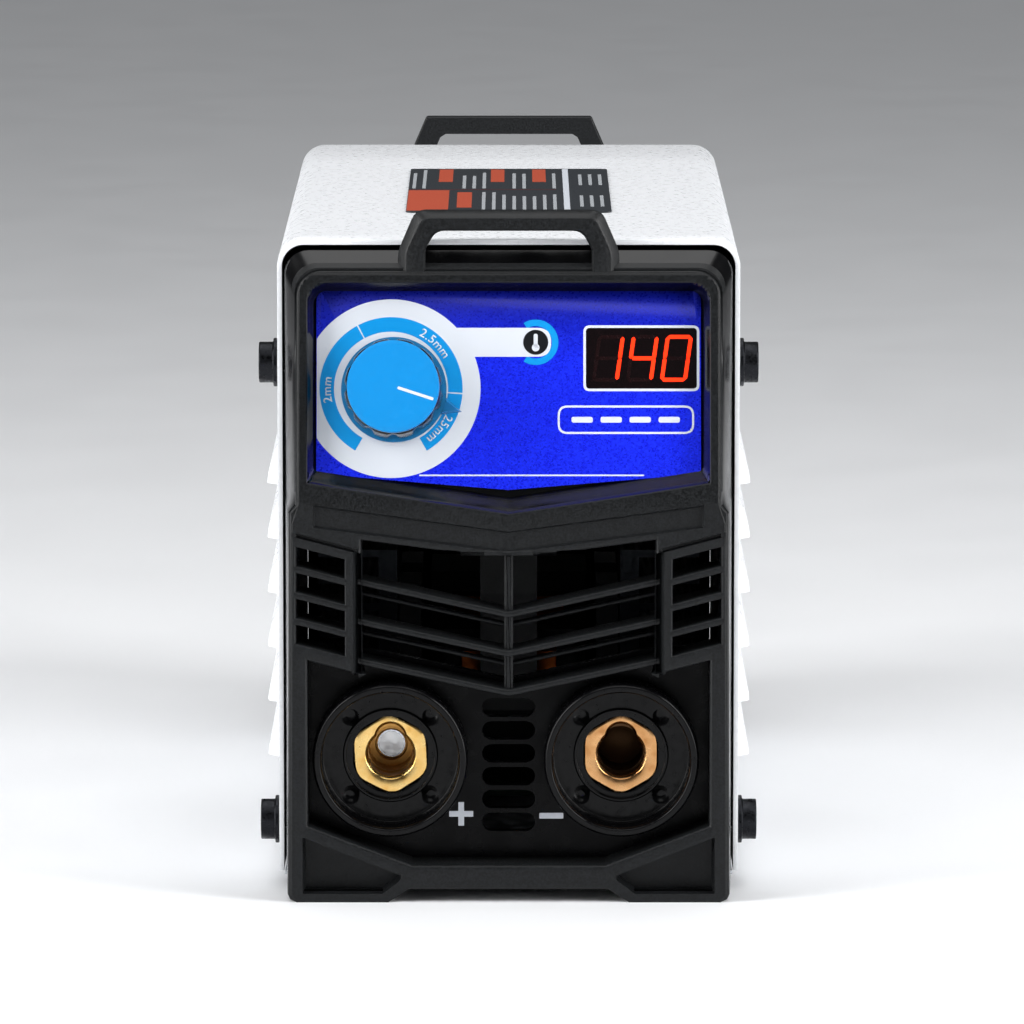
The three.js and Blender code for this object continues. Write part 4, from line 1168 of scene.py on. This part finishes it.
def scallops(angle, radius, depth):
    """Takes a rounded groove out of the rim twelve times round: a power of a cosine, deeper at the foot."""
    groove = np.clip(np.cos(angle * SCALLOPS), 0, 1) ** 1.4
    foot = np.clip((depth - CAP_BACK) / (GRIP_BACK - CAP_BACK), 0, 1)
    return -groove * (0.25 + 0.75 * foot) * np.clip((radius - 8.5) / 1.2, 0, 1)


def knob_black():
    """Black ABS grip with a polished skirt."""
    material, tree, surface, spot = finish("abs_black_knob", "#0B0B0D", 0.22)
    flow = grain(tree, surface, spot, 2.2, 0.015, 0.3, 2.0)
    vary(tree, surface, flow, 0.17, 0.3)
    return material


def cap_blue():
    """Sky blue ABS cap: dyed through, satin from handling."""
    material, tree, surface, spot = finish("abs_blue_cap", "#0485CC", 0.34)
    fine = grain(tree, surface, spot, 0.5, 0.012, 0.3, 3.0)
    vary(tree, surface, fine, 0.3, 0.42)
    return material


def pointer_blue():
    """Clear blue acrylic: it lets light through and darkens towards its thick side."""
    material, tree, surface, spot = finish("acrylic_blue_clear", "#2C8FCB", 0.12)
    surface.inputs["Transmission Weight"].default_value = 0.55
    surface.inputs["IOR"].default_value = 1.49
    swirl = add_node(tree, "ShaderNodeTexNoise", {"Vector": spot, "Scale": across(1.2)}).outputs["Fac"]
    vary(tree, surface, swirl, 0.08, 0.2)
    return material


KNOB_BLACK, CAP_BLUE, POINTER_BLUE = knob_black(), cap_blue(), pointer_blue()
skirt_profile = [(6.7, GRIP_BACK), (GRIP_R - 0.4, GRIP_BACK), (GRIP_R, GRIP_BACK - 0.4), (GRIP_R - 0.05, -5),
                 (CAP_R + 0.35, CAP_BACK + 0.35), (CAP_R - 0.1, CAP_BACK - 0.25),
                 (CAP_R - 0.6, CAP_BACK + 0.1), (0, CAP_BACK + 0.1)]
skirt = np.array([[0, 0.2], [6.7, 0.2]] + skirt_profile, float)
steps = np.concatenate([np.linspace(a, b, 7)[:-1] for a, b in zip(skirt[:-1], skirt[1:])] + [skirt[-1:]])
grip = turned("knob_grip", steps, dial, on_panel, 240, "knob", ripple=scallops)
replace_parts(paint(grip, KNOB_BLACK), "knob_body")
cap_profile = [
    (0, CAP_BACK), (CAP_R, CAP_BACK), (CAP_R, CAP_FRONT + 0.1), (CAP_R - 0.9, CAP_FRONT), (0, CAP_FRONT)
]
cap = turned(
    "knob_top",
    rounded(cap_profile, [0.01, 0.1, 0.8, 0.8, 0.01], 8, closed=False),
    dial,
    on_panel,
    128,
    "knob"
)
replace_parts(paint(cap, CAP_BLUE), "knob_cap")

POINT_AT = math.radians(-18)


def along_pointer(x, up, depth):
    """A drawing with x along the pointer and up across it, turned to where the pointer rests."""
    c, s = math.cos(POINT_AT), math.sin(POINT_AT)
    return on_panel(DIAL_X + x * c - up * s, DIAL_UP + x * s + up * c, depth)


mark = bar(
    "knob_line", 1.0, 8.7, -0.3, 0.3, [CAP_FRONT - 0.04, CAP_FRONT + 0.05], along_pointer, 0.2, 0.02, "knob"
)
paint(mark, WHITE_INK)
ring = turned(
    "pointer_ring",
    [(6.7, 1.75), (10.9, 1.75), (10.9, 2.85), (6.7, 2.85), (6.7, 1.75)],
    dial,
    on_panel,
    96,
    "knob"
)
arrow = slab(
    "pointer_arrow",
    [(10.6, -1.9), (14.8, 0), (10.6, 1.9)],
    [1.75, 2.3, 2.85],
    along_pointer,
    [0.75, 0.15, 0],
    "knob"
)
pointer = paint(joined("knob_pointer_clear", [ring, arrow]), POINTER_BLUE)
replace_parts(pointer, "knob_pointer")
print("knob radius", round(GRIP_R, 2), "cap radius", round(CAP_R, 2))

# %% [markdown]
# ## The weld sockets
# Each socket is a moulded nylon flange with a brass insert. The flange is a turned shape with a
# raised rim, a dish and a collar; four screw dimples are pressed into the dish by a height that
# depends on the distance to each. The insert is a hexagon turned into a nut: a ring whose outer
# radius follows the hexagon, with the corners chamfered, and a keyway let into its bore.

# %% Sockets
SOCKET_Z = sum(corner.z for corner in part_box("positive_socket_flange")) / 2 / MM
FLANGE_R = (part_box("positive_socket_flange")[1].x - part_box("positive_socket_flange")[0].x) / 2 / MM
HEX, BORE, FACE = 15.0, 4.75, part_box("positive_socket_insert")[0].y / MM - FRONT
KEY_R, KEY_UP = 3.05, 3.3


def dense(profile, step):
    """The same path with points no further apart than `step`."""
    path = np.asarray(profile, float)
    counts = np.maximum(np.ceil(np.linalg.norm(np.diff(path, axis=0), axis=1) / step).astype(int), 1)
    return np.concatenate(
        [np.linspace(a, b, n, endpoint=False) for a, b, n in zip(path[:-1], path[1:], counts)] + [path[-1:]]
    )


def hexagon(angle, across_flats, turn=0.0):
    """Radius of a hexagon: half its width over the cosine of the angle from its nearest flat."""
    flat = (np.degrees(angle) - turn + 30) % 60 - 30
    return across_flats / 2 / np.cos(np.radians(flat))


def flange(name, x):
    """Turned ring: seat, collar, dish and rim. Dimples add 0.9 exp(-(distance / 1.45)^6) to the depth.
    The innermost rows follow the hexagonal seat instead of a circle."""
    corners = [(8.0, 13), (8.0, 8.85), (9.2, 8.8), (9.2, 7.8), (9.75, 7.8), (9.8, 8.3), (14.2, 8.3),
               (14.2, 1.8), (14.6, 1.2), (15.6, 1.2), (FLANGE_R, 1.8),
               (FLANGE_R, 9.3), (10.1, 9.3), (10.1, 13), (8.0, 13)]
    soft = [0.01, 0.1, 0.1, 0.15, 0.15, 0.2, 0.35, 0.3, 0.2, 0.2, 0.3, 0.01, 0.01, 0.01, 0.01]
    profile = dense(rounded(corners, soft, 5, closed=False), 0.45)
    angle = np.linspace(0, 2 * math.pi, 180, endpoint=False)[None]
    radius = np.where(profile[:, :1] < 8.05, hexagon(angle, HEX + 0.6), profile[:, :1] + 0 * angle)
    flat_x, flat_z = radius * np.cos(angle), radius * np.sin(angle)
    middles = 11.7 * np.array([(math.cos(a), math.sin(a)) for a in np.radians([45, 135, 225, 315])])
    away = np.hypot(flat_x[..., None] - middles[:, 0], flat_z[..., None] - middles[:, 1])
    dish = (profile[:, 1:] > 8.0) & (profile[:, 1:] < 9.0) & (profile[:, :1] > 9.9) & (
        profile[:, :1] < 13.9
    )
    depth = profile[:, 1:] + 0.6 * np.exp(-((away / 1.45) ** 6)).sum(-1) * dish
    return new_piece(
        name,
        place(x + flat_x, depth, SOCKET_Z + flat_z),
        grid_faces(len(profile), 180, round_columns=True).tolist()
    )


def keyed(angle):
    """The bore's radius with a round notch above it: c sin(a) + sqrt(k^2 - c^2 cos(a)^2),
    where that is more."""
    reach = KEY_UP * np.sin(angle) + np.sqrt(np.maximum(KEY_R**2 - (KEY_UP * np.cos(angle)) ** 2, 0))
    return np.where(np.sin(angle) > 0.5, np.maximum(reach, BORE), BORE)


def insert(name, x, floor_rows, turn=0.0):
    """Rows run from the bore's floor out over the face and back along the hexagon."""
    angle = np.linspace(0, 2 * math.pi, 240, endpoint=False)[None]
    outer, key = hexagon(angle, HEX, turn), keyed(angle)

    def even(value):
        return value + 0 * angle

    ring = np.maximum(key, 6.0)
    rows = [(even(r), y) for r, y in floor_rows]
    rows += [(even(BORE), 16.1), (ring, 16.0), (ring, 13.7), (key, 13.5), (key, FACE + 0.75),
             (key + 0.55, FACE + 0.05), (key + 0.7, FACE), (even(7.1), FACE),
             (outer - 0.3, FACE), (outer - 0.08, FACE + 0.07), (outer, FACE + 0.3),
             (outer, 14.7), (even(7.2), 14.7), (even(7.2), 33.0), (even(0.0), 33.0)]
    radius = np.concatenate([r for r, _ in rows])
    depth = np.concatenate([y + 0 * angle for _, y in rows])
    return new_piece(
        name,
        place(x + radius * np.cos(angle), depth, SOCKET_Z + radius * np.sin(angle)),
        grid_faces(len(rows), 240, round_columns=True).tolist()
    )


def darker_bore(piece, x, material):
    """The bore behind the face gets its own darker brass: painted shade down the bore."""
    middle, _ = face_middles(piece)
    radius = np.hypot(middle[:, 0] - x, middle[:, 2] - SOCKET_Z)
    piece.data.materials.append(material)
    piece.data.polygons.foreach_set(
        "material_index", ((middle[:, 1] > FACE + 0.8) & (radius < 6.6)).astype(np.int32)
    )


def turned_brass(x, colour, worn):
    """Brass turned on a lathe: rings a third of a millimetre apart round this socket's own axis."""
    material, tree, surface, spot = finish(
        "brass_turned_" + ("left" if x < 0 else "right"), colour, 0.17, 1.0
    )
    centred = add_node(
        tree, "ShaderNodeMapping", {"Vector": spot, "Location": (-x * MM, 0, -SOCKET_Z * MM)}
    )
    rings = add_node(tree, "ShaderNodeTexWave", {
        "Vector": centred.outputs["Vector"], "Scale": across(0.35) / 20, "Distortion": 0.6, "Detail": 2.0,
    }, wave_type="RINGS", rings_direction="Y")
    bump = add_node(
        tree, "ShaderNodeBump", {"Height": rings.outputs["Fac"], "Distance": 0.006 * MM, "Strength": 0.5}
    )
    tree.links.new(bump.outputs["Normal"], surface.inputs["Normal"])
    handled = add_node(
        tree, "ShaderNodeTexNoise", {"Vector": spot, "Scale": across(2.5), "Detail": 4.0}
    ).outputs["Fac"]
    vary(tree, surface, handled, 0.12, 0.28)
    tint(tree, surface, handled, worn, colour, 0.3, 0.62)
    return material


# Painted shade: both bore finishes are darker than the face brass, the negative one darkest, for the shade
# down each bore.
BORE_BRASS = plain("brass_bore", "#B98A4A", 0.35, 0.6, 0.28, 0.45, 1.0)
SHADED_BORE_DARK = plain("brass_bore_shaded_dark", "#5A3F26", 0.45, 0.6, 0.38, 0.55, 0.8)
BOLT_STEEL = plain("steel_bright_end", "#E8EAEC", 0.35, 1.2, 0.3, 0.42, 0.85)
BOLT_X = sum(corner.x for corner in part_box("positive_socket_flange")) / 2 / MM
sockets = {
    "positive": (
        [(0.0, 22.9), (3.2, 22.9), (3.2, 21.2), (3.4, 21.0), (4.6, 21.0)],
        3.5,
        "#F2CE86",
        "#D9A95A",
        BORE_BRASS
    ),
    "negative": ([(0.0, 27.8), (BORE, 25.0)], 0.0, "#DDAA74", "#B98350", SHADED_BORE_DARK),
}
for pole, (floor_rows, turn, colour, worn, bore) in sockets.items():
    x = sum(corner.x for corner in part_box(pole + "_socket_flange")) / 2 / MM
    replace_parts(paint(flange(pole + "_flange", x), NYLON), pole + "_socket_flange")
    brass = paint(insert(pole + "_insert", x, floor_rows, turn), turned_brass(x, colour, worn))
    darker_bore(brass, x, bore)
    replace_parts(brass, pole + "_socket_insert")
bolt_outline = [
    (
        BOLT_X + 2.8 * math.cos(a), SOCKET_Z + 2.8 * math.sin(a)
    ) for a in np.linspace(0, 2 * math.pi, 48, endpoint=False)
]
paint(
    slab("positive_bolt_end", bolt_outline, [22.28, 22.5, 22.85], upright, [0.25, 0, 0]),
    BOLT_STEEL,
)

paint(softened("socket_plate", 0.12, 2), SHADED_PLATE_BLACK)
PLATE_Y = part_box("socket_plate")[0].y / MM - FRONT
arm, thin = 2.5, 0.6
cross = [(arm, -thin), (arm, thin), (thin, thin), (thin, arm), (-thin, arm), (-thin, thin),
         (-arm, thin), (-arm, -thin), (-thin, -thin), (-thin, -arm), (thin, -arm), (thin, -thin)]
signs = [slab("sign", np.array(cross) + (-9.9, 16.9), [PLATE_Y - 0.05, PLATE_Y], upright),
         bar("sign", 6.4, 11.4, 15.9, 17.1, [PLATE_Y - 0.05, PLATE_Y], upright, 0.2, 0.01)]
paint(joined("pole_signs", signs), WHITE_INK)
print("flange radius", round(FLANGE_R, 2), "face at", round(FACE, 2))

# %% [markdown]
# ## The cover label
# The real label is a dark printed film with orange heading blocks and rows of small print. The
# rows are only bars here, which read as print at this distance and say nothing.

# %% Cover label
label_low, label_high = (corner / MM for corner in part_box("cover_label"))


def on_top(x, y, lift):
    """A drawing that lies on the cover: x across, y back from the front face, lift above the label."""
    return place(x, y, label_high.z + lift)


def flat_bars(name, boxes, lift, thick=0.03):
    """Many small rectangles as one mesh: eight corners each, as one array."""
    x0, x1, y0, y1 = np.array(boxes, float).T
    corners = np.stack(
        [
            np.stack([x, y, np.full(len(x0), h)], 1) for h in (lift, lift + thick) for x,
            y in ((x0, y0), (x1, y0), (x1, y1), (x0, y1))
        ],
        1
    )
    points = on_top(corners[..., 0], corners[..., 1], corners[..., 2])
    sides = np.array([(0, 3, 2, 1), (4, 5, 6, 7), (0, 1, 5, 4), (1, 2, 6, 5), (2, 3, 7, 6), (3, 0, 4, 7)])
    faces = (sides[None] + 8 * np.arange(len(x0))[:, None, None]).reshape(-1, 4)
    return new_piece(name, points, faces.tolist())


label_y = (label_low.y - FRONT, label_high.y - FRONT)
sheet_outline = rounded(
    [
        (label_low.x, label_y[0]),
        (label_high.x, label_y[0]),
        (label_high.x, label_y[1]),
        (label_low.x, label_y[1])
    ],
    1.5
)
label = slab("label_film", sheet_outline, [-0.2, 0.0], on_top)
paint(label, ink("label_black", "#22262B", 0.38, 0.05))
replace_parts(label, "cover_label")
middle_y = 110.0
zones = ((label_y[0] + 2, middle_y - 1.5), (middle_y + 1.5, label_y[1] - 2))
blocks = [(-21.9, -13.0, zones[0][0], zones[0][1]), (-11.2, -8.0, zones[0][0] + 6, zones[0][1] - 4)]
blocks += [(x, x + wide, 126, 152) for x, wide in ((-15.5, 3.1), (-4.0, 3.0), (5.2, 3.0))]
paint(flat_bars("label_headings", blocks, 0.0), ORANGE_INK)
shade = np.random.default_rng(7)
rows = np.arange(-21.2, 10.4, 2.2)
lines = [(x, x + 0.75, low + 1.0, low + (high - low) * long)
         for low, high in zones for x, long in zip(rows, shade.uniform(0.6, 0.97, len(rows)))
         if not any(left - 1.4 < x < right + 0.6 and near < high and far > low
                    for left, right, near, far in blocks)]
lines += [(x, x + 0.75, low + 8, low + 30) for low, _ in zones for x in (15.4, 17.6, 19.8)]
paint(flat_bars("label_lines", lines, 0.0), DIM_INK)
paint(
    flat_bars("label_divider", [(11.9, 13.2, label_y[0] + 1, label_y[1] - 1)], 0.0),
    WHITE_INK,
)
rule = [(-21.9, 10.4, middle_y - 0.2, middle_y + 0.2)]
paint(flat_bars("label_rule", rule, 0.0), ink("dark_red", "#5A1A18"))
print("label bars", len(blocks) + len(lines))

# %% [markdown]
# ## Inside and behind
# The power stage shows only as glints through the grille and louvres, and the fan through the rear
# grille, so these pieces keep the frame's shapes and get their true finishes, except the heatsinks,
# whose aluminium is painted dark grey for the shade inside the case.

# %% Inner and rear finishes
def solder_mask():
    """Green solder mask over copper tracks, whose pattern shows as slightly lighter patches."""
    material, tree, surface, spot = finish("board_green_mask", "#14532D", 0.35)
    tracks = add_node(
        tree, "ShaderNodeTexVoronoi", {"Vector": spot, "Scale": across(4.0)}, distance="MANHATTAN"
    ).outputs["Distance"]
    tint(tree, surface, tracks, "#1B6B3A", "#0F4425", 0.1, 0.5)
    return material


def wound_copper():
    """Enamelled wire wound side by side: bands one wire, 1.2 mm, apart."""
    material, tree, surface, spot = finish("copper_enamelled_wire", "#C4682F", 0.28, 1.0)
    wires = add_node(
        tree,
        "ShaderNodeTexWave",
        {"Vector": spot, "Scale": across(1.2) / 20},
        wave_type="BANDS",
        bands_direction="Z"
    )
    bump = add_node(
        tree, "ShaderNodeBump", {"Height": wires.outputs["Fac"], "Distance": 0.4 * MM, "Strength": 1.0}
    )
    tree.links.new(bump.outputs["Normal"], surface.inputs["Normal"])
    return material


MASK, WIRE = solder_mask(), wound_copper()
EPOXY = plain("epoxy_black_package", "#1A1B1D", 0.5, 0.3, 0.42, 0.6)
FERRITE = plain("ferrite_fired", "#2A2B2D", 0.7, 0.25, 0.6, 0.8)
SLEEVE = plain("pvc_capacitor_sleeve", "#15202F", 0.3, 1.0, 0.25, 0.36)
RED_LENS = plain("polycarbonate_red", "#C4161A", 0.16, 1.5, 0.12, 0.24)
RELAY_BLUE = plain("pbt_blue", "#1A4FA0", 0.35, 0.6, 0.3, 0.45)
inner = {
    MASK: ["main_board", "control_board"],
    WIRE: ["transformer_winding", "choke_winding"],
    COPPER: ["positive_busbar", "negative_busbar"],
    FERRITE: ["transformer_core", "choke_core"],
    SHADE_DARKENED_ALUMINIUM: ["heatsink_left", "heatsink_right"],
    EPOXY: ["igbt_1", "igbt_2", "output_diode_1", "output_diode_2", "bridge_rectifier", "ribbon_cable"],
    SLEEVE: ["capacitor_1", "capacitor_2"],
    RELAY_BLUE: ["relay"],
    STEEL: ["pot_shaft", "pot_body", "pot_nut", "positive_terminal_bolt", "negative_terminal_bolt"],
    RED_LENS: ["temperature_led"],
    NYLON: ["gland_locknut"],
}
for material, names in inner.items():
    for name in names:
        paint(nodes[name], material)
for name, width in (
    ("fan_frame", 0.3), ("fan_rotor", 0.25), ("gland_body", 0.3), ("gland_dome", 0.35), ("switch_body", 0.3)
):
    paint(softened(name, width, 2), NYLON)
paint(softened("switch_rocker", 0.4, 3), RED_LENS)
print("inner finishes", sum(len(names) for names in inner.values()))

# %% [markdown]
# ## Floor, light and camera
# A wide pale floor stands for the studio table. Two tall soft boxes at the sides draw the long
# highlights down the black edges, one overhead lights the cover and label, and a weak one in front
# opens the shadows. The camera stands well back with a long lens, a little above the panel.

# %% Stage
def floor_paint():
    """Matt pale studio board with a faint mottle a few centimetres across."""
    material, tree, surface, spot = finish("studio_board_pale", "#E9EAEC", 0.6)
    vary(
        tree,
        surface,
        add_node(tree, "ShaderNodeTexNoise", {"Vector": spot, "Scale": across(40)}).outputs["Fac"],
        0.55,
        0.65
    )
    return material


mesh = bpy.data.meshes.new("studio_floor")
mesh.from_pydata([(-12, -12, 0), (12, -12, 0), (12, 12, 0), (-12, 12, 0)], [], [(0, 1, 2, 3)])
floor = bpy.data.objects.new("studio_floor", mesh)
bpy.context.collection.objects.link(floor)
mesh.materials.append(floor_paint())


def soft_box(name, at, toward, size, power, colour="#FFFFFF"):
    """An area light at one place, facing another, both in drawing millimetres."""
    lamp = bpy.data.lights.new(name, "AREA")
    lamp.shape, lamp.size, lamp.size_y, lamp.energy = "RECTANGLE", size[0], size[1], power
    lamp.color = linear(colour)[:3]
    holder = bpy.data.objects.new(name, lamp)
    bpy.context.collection.objects.link(holder)
    holder.location = place(*at)
    aim(holder, toward)
    return holder


def aim(holder, toward):
    """Turns a lamp or camera, whose own view is down its -Z, to face a place."""
    holder.rotation_euler = (Vector(place(*toward)) - holder.location).to_track_quat("-Z", "Y").to_euler()


middle = (0, 60, 70)
soft_box("left_soft_box", (-900, -350, 420), middle, (0.35, 1.1), 14)
soft_box("right_soft_box", (900, -350, 420), middle, (0.35, 1.1), 14)
soft_box("top_soft_box", (0, 150, 1100), (0, 90, 100), (0.9, 0.9), 4.6)
soft_box("front_fill", (0, -1300, 1500), middle, (1.2, 0.6), 3)
sun = bpy.data.lights.new("even_daylight", "SUN")
sun.energy = 0.6
sun.angle = math.radians(60)
sun_holder = bpy.data.objects.new("even_daylight", sun)
bpy.context.collection.objects.link(sun_holder)
sun_holder.rotation_euler = (math.radians(12), 0, 0)
world = bpy.data.worlds.new("studio")
bpy.context.scene.world = world
world.use_nodes = True
world.node_tree.nodes["Background"].inputs["Color"].default_value = linear("#DDE1E6")
world.node_tree.nodes["Background"].inputs["Strength"].default_value = 0.12

camera = bpy.data.objects.new("camera", bpy.data.cameras.new("camera"))
bpy.context.collection.objects.link(camera)
camera.location = place(0.7, -1587, 319)
aim(camera, (0.7, 0, 82))
camera.data.lens = 273.6
camera.data.sensor_width = 36
camera.data.clip_end = 60
bpy.context.scene.camera = camera
bpy.context.scene.view_settings.view_transform = "Standard"
print("camera at", tuple(round(v, 3) for v in camera.location))
